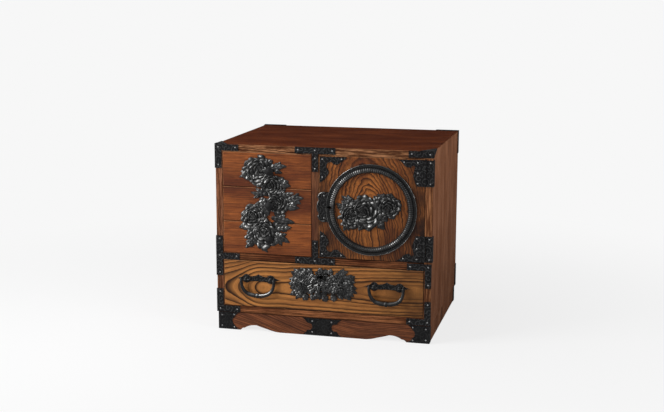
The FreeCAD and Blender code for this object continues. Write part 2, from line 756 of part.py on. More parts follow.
def door_ring():
    """The round hoop: a flat band with a raised lip and a thick half-round bead."""
    y = door_face
    bead_low, bead_high = ring_tube_at - ring_tube, ring_tube_at + ring_tube
    points = [
        (ring_inner, y), (ring_outer, y), (ring_outer, y - ring_base - ring_lip_rise),
        (ring_outer - ring_lip, y - ring_base - ring_lip_rise), (ring_outer - ring_lip, y - ring_base),
        (bead_high, y - ring_base), (bead_high, y - ring_base - ring_tube_rise * 0.5),
    ]
    vectors = [Vector(a, b, 0) for a, b in points]
    edges = [Part.LineSegment(p, q).toShape() for p, q in zip(vectors, vectors[1:])]
    crown = Vector(ring_tube_at, y - ring_base - ring_tube_rise - ring_crown, 0)
    far = Vector(bead_low, y - ring_base - ring_tube_rise * 0.5, 0)
    edges.append(Part.Arc(vectors[-1], crown, far).toShape())
    edges.append(Part.LineSegment(far, Vector(bead_low, y - ring_base, 0)).toShape())
    edges.append(Part.LineSegment(Vector(bead_low, y - ring_base, 0),
                                  Vector(ring_inner, y - ring_base, 0)).toShape())
    edges.append(Part.LineSegment(Vector(ring_inner, y - ring_base, 0), vectors[0]).toShape())
    solid = Part.Face(Part.Wire(edges)).revolve(Vector(0, 0, 0), Vector(0, 1, 0), 360)
    solid.translate(Vector(ring_x, 0, ring_z))
    return solid


def door_lock_plate():
    """The cloud-shaped plate to the left of the ring. It reaches over the divider's edge."""
    x0 = door_left - lock_plate_reach
    h, shoulder, waist = lock_plate_half, lock_plate_shoulder, lock_plate_waist
    z = ring_z + door_key_rise
    x1 = ring_x - ring_outer * 0.6
    shape = front_face(
        (x1, z + h), (x0 + shoulder, z + h),
        ((x0 + shoulder * 0.5, z + h * 0.97), (x0 + waist * 0.5, z + h * 0.62)),
        ((x0 + waist, z + h * 0.5), (x0 + waist, z + h * 0.4)),
        ((x0, z), (x0 + waist, z - h * 0.4)),
        ((x0 + waist, z - h * 0.5), (x0 + waist * 0.5, z - h * 0.62)),
        ((x0 + shoulder * 0.5, z - h * 0.97), (x0 + shoulder, z - h)),
        (x1, z - h),
    )
    solid = plate(shape, door_face, iron)
    around = rod(ring_x, ring_z, ring_outer + lock_plate_clear, door_face + over, door_face - iron - over)
    return solid.cut(around)


def door():
    key_x, key_z = ring_x - ring_outer + door_key_inset, ring_z + door_key_rise
    case, bolt, way = lock(key_x - door_left)
    y = door_face + door_board - 2 * lock_wall - bolt_thick
    spot = (180, door_left, y, key_z)
    lock_pocket = box(door_left, door_left + lock_case_length, y, door_face + door_board,
                      key_z - lock_case_width / 2, key_z + lock_case_width / 2)
    key = keyhole_cutter(key_x, key_z, y, door_face - 4 * ring_tube)
    board = rounded_box(door_left, door_right, door_face, door_face + door_board, door_low, door_high,
                        front_rounding, lambda c: c.y < door_face + 0.1)
    n, x0, z1 = leaf_nail_inset, door_left + leaf_inset, door_high - leaf_inset
    door_side, case_side = hinge_nails()
    upper = [(x0 + n, z1 - n), (x0 + door_iron_along * 0.8, z1 - n * 0.8),
             (x0 + n, z1 - door_iron_down * 0.8)] + door_side
    plate_x = door_left - lock_plate_reach + lock_plate_half * 0.5
    places = upper + [(x, 2 * door_mid - z) for x, z in upper]
    places += [(plate_x, key_z + side * lock_plate_half * 0.75) for side in (-1, 1)]
    holes = [shank(x, z, door_face - iron) for x, z in places]
    corner = door_corner_iron()
    save("door_panel", board.cut([lock_pocket, key] + holes))
    save("door_corner_irons", corner.cut(holes), mirror_z(corner, door_mid).cut(holes))
    save("door_ring", door_ring().cut(key))
    save("door_lock_plate", door_lock_plate().cut(holes))
    save("door_peony", peony(ring_x, ring_z, door_face, door_blossoms, door_leaves,
                             ring_inner / door_peony_hoop))
    save("door_lock_case", place(case, *spot))
    save("door_bolt", place(bolt, *spot))
    save("door_nails", *[nail(x, z, door_face - iron) for x, z in places])
    door_leaf, case_leaf, hinge_pin = hinge()
    save("door_hinge_leaves", door_leaf, mirror_z(door_leaf, door_mid))
    save("case_hinge_leaves", case_leaf, mirror_z(case_leaf, door_mid))
    lower_pin = hinge_pin.copy()
    lower_pin.translate(Vector(0, 0, 2 * (door_mid - door_high + leaf_inset) + leaf_height))
    save("hinge_pins", hinge_pin, lower_pin)
    nails = case_side + [(x, 2 * door_mid - z) for x, z in case_side]
    return place(way, *spot), [(x, z, front - iron) for x, z in nails]


# ---- Wide drawer ----
def bail():
    """A swinging handle that hangs from its two studs, built about its pivot line at the origin."""
    a, d, facing = bail_half, bail_drop, Vector(0, 1, 0)
    half = [(a, 0), (a * 0.9, -d * 0.6), (a * 0.54, -d * 0.91)]
    points = [(-x, z) for x, z in half] + [(0, -d)] + half[::-1]
    curve = Part.BSplineCurve()
    curve.interpolate([Vector(x, 0, z) for x, z in points])
    wire = Part.Wire(curve.toShape())
    ring = Part.Wire(Part.Circle(Vector(-a, 0, 0), curve.tangent(0)[0], bail_wire).toShape())
    pieces = [wire.makePipeShell([ring], True, True), Part.makeSphere(bail_bead, Vector(0, 0, -d), facing)]
    tip = stud_from_middle - stud_ball - bail_side_gap - eye
    for side in (-1, 1):
        out = Vector(side, 0, 0)
        pieces.append(Part.makeSphere(bail_elbow, Vector(side * a, 0, 0), facing))
        pieces.append(Part.makeCylinder(eye, a - tip, Vector(side * tip, 0, 0), out))
        pieces.append(Part.makeSphere(eye_end, Vector(side * tip, 0, 0), facing))
        collar = Vector(side * (bail_bead + bail_collar_gap), 0, -d)
        pieces.append(Part.makeCylinder(bail_collar, bail_collar_width, collar, out))
    return join(pieces)


def handle_stud(x):
    """An eyed stud: rose, neck, ball with an eye through it, and a shank driven into the wood."""
    y = front - iron
    ball = Part.makeSphere(stud_ball, Vector(x, front - pivot_reach, handle_z))
    rose = Part.makeCone(stud_rose, stud_rose_top, stud_rose_rise, Vector(x, y, handle_z), Vector(0, -1, 0))
    neck = rod(x, handle_z, stud_neck, y, front - pivot_reach)
    tail = rod(x, handle_z, stud_shank, front + stud_depth, y)
    start = Vector(x - 2 * stud_ball, front - pivot_reach, handle_z)
    bore = Part.makeCylinder(eye + eye_clear, 4 * stud_ball, start, Vector(1, 0, 0))
    return join([ball, rose, neck, tail]).cut(bore)


def handle_plate(x):
    """The thin back plate of a handle, with pointed ends and a crown in the middle."""
    z, s, h, c = handle_z, stud_from_middle, handle_plate_width / 2, handle_plate_crown
    lobe, tip = handle_plate_lobe, x + handle_plate_half
    half = plate(front_face(
        (x, z - h * 0.6),
        ((x + s * 0.45, z - h * 0.72), (x + s - lobe, z - h * 0.8)),
        ((x + s, z - h * 1.35), (x + s + lobe, z - h * 0.7)),
        ((x + s + lobe * 1.5, z - h * 0.25), (tip, z)),
        ((x + s + lobe * 1.8, z + h * 0.45), (x + s + lobe, z + h * 0.9)),
        ((x + s, z + h * 1.7), (x + s - lobe, z + h)),
        ((x + s * 0.35, z + h * 1.15), (x, z + h + c)),
    ), front, iron)
    return join([half, mirror_x(half, x)])


def wide_drawer():
    case, bolt, way = lock(key_from_edge)
    top = under_shelf - drawer_edge_gap
    y = front + drawer_front - 2 * lock_wall - bolt_thick
    key_x = (left + right) / 2
    spot = (-90, key_x, y, top)
    key_z = top - key_from_edge
    pocket = box(key_x - lock_case_width / 2, key_x + lock_case_width / 2, y, front + drawer_front,
                 top - lock_case_length, top)
    key = keyhole_cutter(key_x, key_z, y, front - 3 * heart_rise)
    studs = [x + side * stud_from_middle for x in handle_places for side in (-1, 1)]
    shanks = [rod(x, handle_z, stud_shank, front + stud_depth, front - iron) for x in studs]
    board = drawer_board(inner_left, inner_right, on_bottom, under_shelf)
    save("wide_drawer_front", board.cut([pocket, key] + shanks))
    drawer_box("wide_drawer", inner_left, inner_right, on_bottom, under_shelf, 0)
    ironwork = peony(key_x, wide_mid + wide_peony_rise, front, wide_blossoms, wide_leaves)
    save("wide_drawer_peony", ironwork.cut(key))
    save("drawer_lock_case", place(case, *spot))
    save("drawer_bolt", place(bolt, *spot))
    save("handle_plates", *[handle_plate(x).cut(shanks) for x in handle_places])
    save("handle_studs", *[handle_stud(x) for x in studs])
    for name, x in zip(("left_bail", "right_bail"), handle_places):
        loop = bail()
        loop.translate(Vector(x, front - pivot_reach, handle_z))
        save(name, loop)
    return place(way, *spot)


os.makedirs("parts", exist_ok=True)
divider_mortise, leaf_nails = door()
shelf_mortise = wide_drawer()
front_nails = case_irons() + plinth_irons() + leaf_nails
rear_nails = rear_irons()
shanks = [shank(*n) for n in front_nails] + [to_rear(shank(*n)) for n in rear_nails]
case_boards(shelf_mortise, divider_mortise, shanks)
plinth(shanks)
small_drawers()
drawer_runners()
save("case_nails", *[nail(*n) for n in front_nails], *[to_rear(nail(*n)) for n in rear_nails])
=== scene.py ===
import random
from math import asin, atan2, copysign, cos, exp, hypot, pi, radians, sin

import bmesh
import bpy
from mathutils import Matrix, Vector


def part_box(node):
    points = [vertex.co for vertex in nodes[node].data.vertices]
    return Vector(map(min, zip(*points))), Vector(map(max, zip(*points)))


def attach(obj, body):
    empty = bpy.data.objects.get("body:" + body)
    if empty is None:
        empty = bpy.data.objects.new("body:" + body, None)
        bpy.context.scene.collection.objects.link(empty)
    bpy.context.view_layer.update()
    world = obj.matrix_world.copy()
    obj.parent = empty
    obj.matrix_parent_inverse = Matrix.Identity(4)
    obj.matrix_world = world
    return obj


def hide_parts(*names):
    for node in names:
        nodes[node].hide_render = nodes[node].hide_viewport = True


# Small tansu chest: lacquered boards with raised peony ironwork, a hooped door and bail handles.
# Metres. +Z is up and the front faces -Y. Ornament is laid out in millimetres and scaled by MM.

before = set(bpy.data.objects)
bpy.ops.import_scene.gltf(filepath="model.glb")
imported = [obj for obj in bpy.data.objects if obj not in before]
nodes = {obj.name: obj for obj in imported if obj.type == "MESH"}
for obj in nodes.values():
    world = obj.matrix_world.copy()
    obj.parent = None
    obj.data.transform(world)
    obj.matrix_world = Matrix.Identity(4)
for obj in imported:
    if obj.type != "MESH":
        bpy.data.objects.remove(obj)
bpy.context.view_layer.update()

MM = 0.001


# ---- Places taken from the frame ----
def middle(node):
    low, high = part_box(node)
    return (low + high) / 2


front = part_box("centre_divider")[0].y
door_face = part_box("door_panel")[0].y
hoop_middle = middle("door_ring")
hoop_radius = (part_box("door_ring")[1].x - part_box("door_ring")[0].x) / 2
small_drawers = ["small_drawer_%d" % k for k in (1, 2, 3)]
bay_low, bay_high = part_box("small_drawer_1_front")
bay_middle = (bay_low.x + bay_high.x) / 2
handle_z = middle("handle_studs").z
handle_middles = (middle("left_bail").x, middle("right_bail").x)
# The two keyholes, as (x, z).
door_key = (hoop_middle.x - hoop_radius + 0.0084, hoop_middle.z + 0.002)
wide_drawer_key = (0.0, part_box("wide_drawer_front")[1].z - 0.024)

# ---- Peony ironwork, in millimetres ----
# Each blossom is (along, up, radius). Each leaf is (root along, root up, tip along, tip up, width).
stack_drop = 105.9  # from the top of the small drawers down to where their ironwork is laid out from
stack_blossoms = [(10, 40, 24), (24, 4, 23), (-6, -62, 31), (-18, 69, 31), (-28, -32, 29)]
stack_leaves = [
    (-20, 66, -59, 54, 15), (-16, 80, -34, 97, 15), (4, 74, 43, 80, 17), (0, 82, 14, 91, 14),
    (20, 48, 51, 39, 20), (0, 22, -35, 24, 13), (40, 8, 79, 16, 17), (34, 2, 70, -5, 19),
    (0, -8, -27, -11, 16), (10, -28, 60, -36, 19), (16, -52, 53, -46, 15), (10, -62, 49, -79, 18),
    (-12, -78, 1, -102, 15), (-28, -72, -47, -95, 16), (-36, -44, -61, -52, 16), (-30, -34, -57, -32, 16),
    (-8, 0, 4, -24, 26), (-24, 66, -56, 66, 18), (-24, 76, -46, 84, 18), (-20, 56, -38, 47, 16),
    (-10, 44, -22, 36, 16), (24, 54, 40, 50, 16), (6, 8, -24, 0, 20), (0, -4, -30, -14, 20),
    (20, 16, 58, 26, 16), (16, -18, 34, -20, 16), (-24, -60, -50, -74, 18), (10, -66, 36, -66, 20),
    (12, -40, 46, -44, 18),
]
door_blossoms = [(-42, -14, 24), (36, 10, 24), (-10, -4, 33)]
door_leaves = [
    (-40, -2, -73, 11, 18), (-40, -14, -72, -20, 15), (-40, -22, -57, -46, 15), (-30, 8, -62, 27, 17),
    (-18, 18, -30, 27, 14), (30, 18, 12, 34, 15), (38, 20, 40, 37, 18), (46, 14, 61, 22, 14),
    (42, -4, 46, -17, 16), (-6, -30, -4, -44, 20), (14, -22, 28, -38, 18), (-44, 0, -70, 2, 18),
    (-30, -24, -40, -42, 18), (-16, -26, -26, -43, 18), (14, 14, 6, 30, 18), (20, -8, 34, -22, 18),
    (44, 4, 61, 6, 16), (22, 20, 26, 36, 16), (-36, 12, -50, 24, 18), (-30, -14, -64, -34, 18),
]
wide_rise = 6.0  # how far above the drawer's middle its ironwork sits
wide_masses = [(-42, 2, 25), (38, 4, 27), (-4, 1, 32)]  # masses of leaves, given like blossoms
wide_blossoms = [(0, 16, 15)]
wide_leaves = [
    (-44, 8, -70, 10, 17), (-44, -6, -69, -9, 15), (-38, -12, -56, -33, 16), (-40, 14, -60, 32, 16),
    (-20, 22, -32, 35, 16), (0, 26, -6, 37, 16), (18, 22, 20, 37, 15), (40, 22, 46, 35, 16),
    (50, 6, 71, 12, 15), (46, -6, 75, -12, 16), (36, -12, 45, -27, 16), (6, -22, 10, -34, 20),
    (-18, -20, -22, -33, 16), (-48, 2, -72, 0, 16), (-46, 16, -66, 26, 16), (-46, -12, -68, -24, 16),
    (-30, -20, -40, -34, 16), (24, -18, 26, -33, 18), (46, -12, 62, -28, 16), (52, 12, 70, 24, 16),
    (54, 0, 74, -2, 14), (10, 24, 6, 36, 16), (-30, 20, -46, 35, 16), (30, 22, 56, 33, 16),
]
least_rise, most_rise = 0.2, 7.6
leaf_rise = 3.0
# Rows of a mass of leaves, outermost first: leaves, where they start and how long they are as shares of
# the radius, and how high they stand.
foliage_rows = [(13, 0.46, 0.58, 4.2), (9, 0.24, 0.54, 5.6), (5, 0.0, 0.50, 6.9)]
# Rows of a blossom's petals, outermost first: petals, length and width as shares of the blossom's
# radius, rise at root and rim, and the scallops of a rim.
petal_rows = [
    (6, 1.03, 1.20, 0.8, 2.8, 3),
    (5, 0.80, 1.05, 1.8, 4.2, 2),
    (4, 0.58, 0.86, 3.1, 5.5, 2),
    (3, 0.38, 0.62, 4.5, 6.7, 2),
    (3, 0.20, 0.34, 6.0, 7.6, 1),
]
# The ironwork of the three small drawers is sawn apart a hair outside each drawer's edge.
split_overlap = 0.12 * MM
# A painted highlight brightens the ironwork where it faces the light at the upper left, along with its
# wear, and the hoop also inside at the lower right. The hoop's two painted bright places are given as
# angles.
rubbed_towards = Vector((-0.55, -0.50, 0.67))
outer_highlight_at, inner_highlight_at = radians(142), radians(-38)

# ---- Finishes, as linear colours ----
iron_black = (0.0042, 0.0042, 0.0045)
# Bright iron of rubbed spots, also laid on as painted highlight.
iron_rubbed = (0.30, 0.30, 0.295)
nail_grey = (0.16, 0.16, 0.16)
# Painted shade inside keyholes.
keyhole_black = (0.0008, 0.0007, 0.0006)
# Colour of rounded edges that face the light: wear with a painted highlight.
worn_and_lit_edge = (0.36, 0.16, 0.075)
paper_white = (0.88, 0.88, 0.885)
background_white = 0.93
room_light = 0.22


# ---- Shader building ----
class Given:
    """What a shader node gives. Arithmetic with it adds the nodes that work out the result."""

    def __init__(self, socket):
        self.socket, self.tree = socket, socket.id_data

    def __getitem__(self, output):
        """Another output of the same node."""
        return Given(self.socket.node.outputs[output])

    def __add__(self, other):
        return maths("ADD", self, other)

    def __sub__(self, other):
        return maths("SUBTRACT", self, other)

    def __rsub__(self, other):
        return maths("SUBTRACT", other, self)

    def __mul__(self, other):
        if is_vector(self) and not is_vector(other):
            return add(self.tree, "VectorMath", {0: self, "Scale": other}, operation="SCALE")
        return maths("MULTIPLY", self, other)

    def __truediv__(self, other):
        return maths("DIVIDE", self, other)


def is_vector(value):
    return isinstance(value, tuple) or isinstance(value, Given) and value.socket.type != "VALUE"


def link(value, socket):
    """Feed a shader input with what another node gives, or with a fixed value."""
    if isinstance(value, Given):
        socket.id_data.links.new(value.socket, socket)
    else:
        socket.default_value = (*value, 1.0) if socket.type == "RGBA" else value


def add(tree, kind, inputs=None, **settings):
    """Add a shader node."""
    made = tree.nodes.new("ShaderNode" + kind)
    for key, value in settings.items():
        setattr(made, key, value)
    for key, value in (inputs or {}).items():
        link(value, made.inputs[key])
    return Given(made.outputs[0])


def maths(operation, *values):
    """Work out a number, or a vector where a value is one."""
    tree = next(value.tree for value in values if isinstance(value, Given))
    kind = "VectorMath" if any(is_vector(value) for value in values) else "Math"
    made = add(tree, kind, dict(enumerate(values)), operation=operation)
    return made["Value"] if operation in ("LENGTH", "DISTANCE") else made


def parts(vector):
    """The three numbers of a vector."""
    split = add(vector.tree, "SeparateXYZ", {0: vector})
    return split, split[1], split[2]


def vector_of(*numbers):
    return add(numbers[0].tree, "CombineXYZ", dict(enumerate(numbers)))


def noise(place, scale, detail, roughness=0.5):
    inputs = {"Vector": place, "Scale": scale, "Detail": detail, "Roughness": roughness}
    return add(place.tree, "TexNoise", inputs)


def ease(value, low, high, to_low=0.0, to_high=1.0):
    """Carry a value smoothly from one range to another."""
    inputs = {"Value": value, "From Min": low, "From Max": high, "To Min": to_low, "To Max": to_high}
    return add(value.tree, "MapRange", inputs, interpolation_type="SMOOTHSTEP")


def blend(share, first, second):
    """A colour between two colours."""
    return add(share.tree, "Mix", {0: share, 6: first, 7: second}, data_type="RGBA")[2]


def effect(name, takes, *gives):
    """Start a node group. It takes numbers with a usual value, or a vector where that is None."""
    tree = bpy.data.node_groups.new(name, "ShaderNodeTree")
    for label, usual in takes.items():
        kind = "NodeSocketVector" if usual is None else "NodeSocketFloat"
        socket = tree.interface.new_socket(label, in_out="INPUT", socket_type=kind)
        if usual is not None:
            socket.default_value = usual
    for label in gives:
        tree.interface.new_socket(label, in_out="OUTPUT", socket_type="NodeSocketFloat")
    taken = Given(tree.nodes.new("NodeGroupInput").outputs[0])
    return tree, taken, tree.nodes.new("NodeGroupOutput").inputs


def use(tree, group, **inputs):
    """Place a node group in a material."""
    made = tree.nodes.new("ShaderNodeGroup")
    made.node_tree = group
    for key, value in inputs.items():
        link(value, made.inputs[key.replace("_", " ")])
    return Given(made.outputs[0])


def finish_of(name):
    """A new material with its shader's inputs."""
    material = bpy.data.materials.new(name)
    material.use_nodes = True
    return material, material.node_tree, material.node_tree.nodes["Principled BSDF"].inputs


# ---- Effects that several finishes share ----
def make_grain():
    """Growth rings of a log that lies along X, with its pith on the axis, and what lies in them."""
    takes = {"Vector": None, "Ring width": 0.006, "Wander": 0.01, "Figure": 0.002, "Softness": 0.5}
    tree, takes, gives = effect("Growth rings", takes, "Line", "Pores", "Tone", "Fibre")
    moved = takes["Vector"]
    along = moved * (0.3, 1.0, 1.0)
    slow, quick = noise(along, 9.0, 1.0), noise(moved, 42.0, 2.0)
    for drift, amount in ((slow, takes["Wander"]), (quick, takes["Figure"])):
        moved = moved + (drift["Color"] - (0.5, 0.5, 0.5)) * amount
    count = maths("LENGTH", moved * (0.0, 1.0, 1.0)) / takes["Ring width"]
    uneven = add(tree, "TexNoise", {"W": count * 0.45, "Scale": 1.0}, noise_dimensions="1D")
    count = count + uneven * 1.6
    phase = maths("FRACT", count)
    strength = add(tree, "TexWhiteNoise", {"W": maths("FLOOR", count)}, noise_dimensions="1D")
    begin = ease(takes["Softness"], 0.0, 1.0, 0.86, 0.25)
    line = ease(phase, begin, 0.93) * ease(phase, 0.94, 1.0, 1.0, 0.0)
    link(line * ease(strength, 0.0, 0.8, 0.4, 1.0), gives["Line"])
    streaks = moved * (0.06, 1.0, 1.0)
    early = ease(phase, 0.6, 1.0, 0.3, 1.0)
    link(ease(noise(streaks, 1100.0, 1.0), 0.54, 0.68) * early, gives["Pores"])
    link(ease(noise(streaks, 330.0, 4.0, 0.7), 0.39, 0.61), gives["Fibre"])
    link(ease(noise(along, 24.0, 4.0, 0.6), 0.3, 0.7), gives["Tone"])
    return tree


def make_worn_and_lit_edge():
    """Masks on rounded edges: worn and given a painted highlight where they face up or left, towards the
    light, and given painted shade where they face down or right.
    """
    tree, takes, gives = effect("Worn edge and painted light", {"Amount": 0.6}, "Rubbed and lit", "Painted shade")
    source = add(tree, "TexCoord")
    x, y, z = parts(maths("ABSOLUTE", source["Normal"]))
    edge = ease(maths("MAXIMUM", maths("MAXIMUM", x, y), z), 0.995, 0.9)
    right, _, up = parts(source["Normal"])
    lit = ease(up - right, -0.1, 0.25)
    rubbed = edge * lit * ease(noise(source["Object"], 60.0, 3.0), 0.3, 0.6, 0.3, 1.0)
    link(rubbed * takes["Amount"], gives["Rubbed and lit"])
    link(edge * (1.0 - lit), gives["Painted shade"])
    return tree


def make_forged():
    """The uneven skin of hammered iron, and how dull it is where a plate turns up or aside."""
    tree, takes, gives = effect("Forged skin", {"Size": 1.0}, "Height", "Tone", "Dull")
    source = add(tree, "TexCoord")
    place = source["Object"]
    x, _, z = parts(source["Normal"])
    link(ease(maths("MAXIMUM", maths("ABSOLUTE", x), z), 0.5, 0.9), gives["Dull"])
    scale = maths("DIVIDE", 220.0, takes["Size"])
    dents = add(tree, "TexVoronoi", {"Vector": place, "Scale": scale}, feature="SMOOTH_F1")
    link(dents * 0.6 + noise(place, 900.0, 3.0) * 0.4, gives["Height"])
    link(ease(noise(place, 70.0, 4.0, 0.65), 0.35, 0.68), gives["Tone"])
    return tree


def make_scrolls():
    """Chased scrolls: spirals of fine grooves that fill the plate."""
    tree, takes, gives = effect("Chased scrolls", {"Curl size": 0.010, "Turns": 3.2}, "Groove")
    place = add(tree, "TexCoord")["Object"]
    x, y, z = parts(place + noise(place, 110.0, 1.0)["Color"] * 0.004)
    flat = vector_of(x + y, z)
    scale = maths("DIVIDE", 1.0, takes["Curl size"])
    curl = add(tree, "TexVoronoi", {"Vector": flat, "Scale": scale}, voronoi_dimensions="2D")
    along, up, _ = parts(flat - curl["Position"])
    turns = curl["Distance"] * takes["Turns"] * (2 * pi) + maths("ARCTAN2", up, along)
    link(ease(maths("SINE", turns), 0.5, 1.0), gives["Groove"])
    return tree


grain_effect = make_grain()
worn_and_lit_edge_effect = make_worn_and_lit_edge()
forged_effect = make_forged()
scroll_effect = make_scrolls()


# ---- Logs that the boards are sawn from ----
def log_lying(turn, pith):
    """A log whose pith passes at a place, turned from lying along X."""
    return lambda place: add(place.tree, "Mapping", {"Vector": place, "Location": pith, "Rotation": turn})


def log_of_wide_drawer(place):
    """A log with a wide heart that comes up towards the face from the left, with a knot beside it."""
    x, _, z = parts(place)
    left = ease(x, -0.27, -0.06, 0.058, 0.0245)
    right = ease(x, -0.10, 0.20, 0.0, -0.0165)
    knot = (x + 0.134) / 0.028
    knot = maths("EXPONENT", knot * (knot * -1.0)) * -0.009
    heart = maths("LENGTH", vector_of(left + right + knot, z - (x * 0.032 + 0.100)))
    return vector_of(x, maths("MAXIMUM", heart - 0.010, 0.001))


def log_of_plinth(place):
    """Lines that climb to the left in the left half and lie nearly level in the right half."""
    x, y, z = parts(place)
    return vector_of(x, z - ease(x, -0.26, 0.10, 0.0, -0.085) + 0.03, y + 0.215)


def log_of_door(place):
    """A standing log whose pith sinks away from the face towards the door's head, so its rings arch."""
    x, _, z = parts(place)
    aside = x - (hoop_middle.x - 0.004)
    lean = (z - hoop_middle.z) * 0.12
    return vector_of(z, aside + lean, ease(z, hoop_middle.z - 0.01, hoop_middle.z + 0.13, 0.010, 0.060))


# ---- Dark places ----
def keyhole_shade(place, key):
    """Painted shade: the wood within and about a keyhole is painted black, as the hole's shadow."""
    return ease(maths("DISTANCE", place * (1.0, 0.0, 1.0), (key[0], 0.0, key[1])), 0.010, 0.008)


def rail_shade(place):
    """Painted shade along the foot of the two lower rails, where the gap below them lies in shadow."""
    z = parts(place)[2]
    feet = [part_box(rail)[0].z for rail in ("bottom_panel", "middle_shelf")]
    lower, upper = [ease(z, foot + 0.0035, foot + 0.0005, 0.0, 0.9) for foot in feet]
    above = ease(z, feet[1] - 0.001, feet[1])
    return maths("MAXIMUM", upper * above, lower * (1.0 - above))


def wide_drawer_shade(place):
    """The wide drawer darkens towards its right end."""
    return ease(parts(place)[0], 0.08, 0.19, 0.0, 0.62) * ease(noise(place, 22.0, 3.0), 0.35, 0.6, 0.5, 1.0)


def side_shade(place):
    """Painted shade: the sides darken towards the foot, where less light falls."""
    return ease(parts(place)[2], 0.40, 0.02, 0.02, 0.46)


def door_shade(place):
    """The door darkens towards its two sides and its foot."""
    x, _, z = parts(place)
    sides = ease(maths("ABSOLUTE", x - (hoop_middle.x - 0.006)), 0.060, 0.100, 0.0, 0.80)
    foot = ease(z, hoop_middle.z + 0.02, hoop_middle.z - 0.11, 0.0, 0.58)
    return (sides + foot) * ease(noise(place, 28.0, 2.0), 0.35, 0.6, 0.5, 1.0)


# ---- Finishes ----
def lacquered(name, light, dark, line, log, rings, lines, worn_and_lit=worn_and_lit_edge, gloss=0.1, roughness=0.5,
              front_edge=None, shade=None, key=None):
    """Lacquered wood sawn from a log.

    light and dark are the colours between its lines, line is that of the lines, and worn that of rubbed
    edges that face up or left, wear with a painted highlight; edges facing down or right get painted
    shade in the line colour. rings gives the rings' width, wander and figure, in metres. lines gives how
    strong and how soft the lines are and how strong the fibre is. front_edge gives the two paler colours
    of a board's front edge, shade a mask of darker places, and key the place of a keyhole, whose wood is
    painted black as its shade.
    """
    material, tree, inputs = finish_of(name)
    source = add(tree, "TexCoord")
    place = source["Object"]
    (ring_width, wander, figure), (line_strength, softness, fibre_strength) = rings, lines
    grain = use(tree, grain_effect, Vector=log(place), Ring_width=ring_width, Wander=wander,
                Figure=figure, Softness=softness)
    colour = blend(grain["Tone"], dark, light)
    if front_edge:
        facing = parts(source["Normal"])[1]
        colour = blend(ease(facing, -0.5, -0.8), colour, blend(grain["Fibre"], *front_edge))
    for mark, strength in (("Fibre", fibre_strength), ("Line", line_strength), ("Pores", 0.5)):
        colour = blend(grain[mark] * strength, colour, line)
    if shade:
        colour = blend(shade(place), colour, line)
    # Painted shade: the keyhole is painted black.
    if key:
        colour = blend(keyhole_shade(place, key), colour, keyhole_black)
    # Rounded edges: painted shade where they face down or right, wear with a painted highlight where they
    # face up or left.
    edge = use(tree, worn_and_lit_edge_effect, Amount=0.7)
    colour = blend(edge["Painted shade"] * 0.85, colour, line)
    link(blend(edge["Rubbed and lit"], colour, worn_and_lit), inputs["Base Color"])
    link(ease(grain["Pores"], 0.0, 1.0, roughness, roughness + 0.2), inputs["Roughness"])
    depth = grain["Line"] * 0.5 + grain["Pores"]
    bump = {"Strength": 0.35, "Distance": 0.2 * MM, "Height": depth}
    link(add(tree, "Bump", bump, invert=True), inputs["Normal"])
    link(gloss, inputs["Specular IOR Level"])
    return material


def ironwork(name, chased=0.0, rubbing_and_highlight=0.0, roughness=0.42, size=1.0, worn_and_lit=0.0, shine=0.07, dents=0.4,
             lines=0.09, curl=13.0, turns=2.0):
    """Blackened iron.

    chased is how deep its scrolls are, lines how bright, curl their size in millimetres and turns how
    often they wind. rubbing brightens rubbed spots and worn brightens edges that face up or left, both
    with wear and a painted highlight. dents is in millimetres.
    """
    material, tree, inputs = finish_of(name)
    forged = use(tree, forged_effect, Size=size)
    bright, height = forged["Tone"] * 0.018, forged["Height"]
    rough = ease(forged["Tone"], 0.0, 1.0, roughness + 0.08, roughness - 0.06)
    # Wear with a painted highlight where the rubbed spots lie.
    if rubbing_and_highlight:
        spots = add(tree, "Attribute", attribute_name="rubbed")["Fac"]
        bright = bright + spots * ease(forged["Tone"], 0.0, 1.0, 0.25 * rubbing_and_highlight, rubbing_and_highlight)
    # Wear with a painted highlight on the edges that face up or left.
    elif worn_and_lit:
        bright = maths("MAXIMUM", bright, use(tree, worn_and_lit_edge_effect, Amount=worn_and_lit)["Rubbed and lit"])
    if chased:
        groove = use(tree, scroll_effect, Curl_size=curl * MM, Turns=turns)["Groove"]
        height = height - groove * chased
        bright = bright + groove * lines
        rough = maths("MINIMUM", rough + forged["Dull"] * 0.55, 1.0)
    link(blend(bright, iron_black, iron_rubbed), inputs["Base Color"])
    link(ease(bright, 0.04, 0.4), inputs["Metallic"])
    link(rough, inputs["Roughness"])
    link(add(tree, "Bump", {"Strength": 0.5, "Distance": dents * MM, "Height": height}), inputs["Normal"])
    link(shine, inputs["Specular IOR Level"])
    return material


def nail_finish():
    material, tree, inputs = finish_of("nail_iron")
    link(nail_grey, inputs["Base Color"])
    link(1.0, inputs["Metallic"])
    forged = use(tree, forged_effect, Size=0.3)
    link(ease(forged["Tone"], 0.0, 1.0, 0.42, 0.24), inputs["Roughness"])
    return material


def side_board(name, front_light, front_dark):
    """Wood of a board that stands, with its grain upright."""
    return lacquered(
        name, (0.385, 0.170, 0.090), (0.238, 0.092, 0.044), (0.026, 0.010, 0.006),
        log_lying((0.03, upright, 0.0), (0.35, 0.0, 0.1)), (0.0040, 0.014, 0.0012), (0.7, 0.5, 0.4),
        gloss=0.004, roughness=0.7, front_edge=(front_light, front_dark), shade=side_shade)


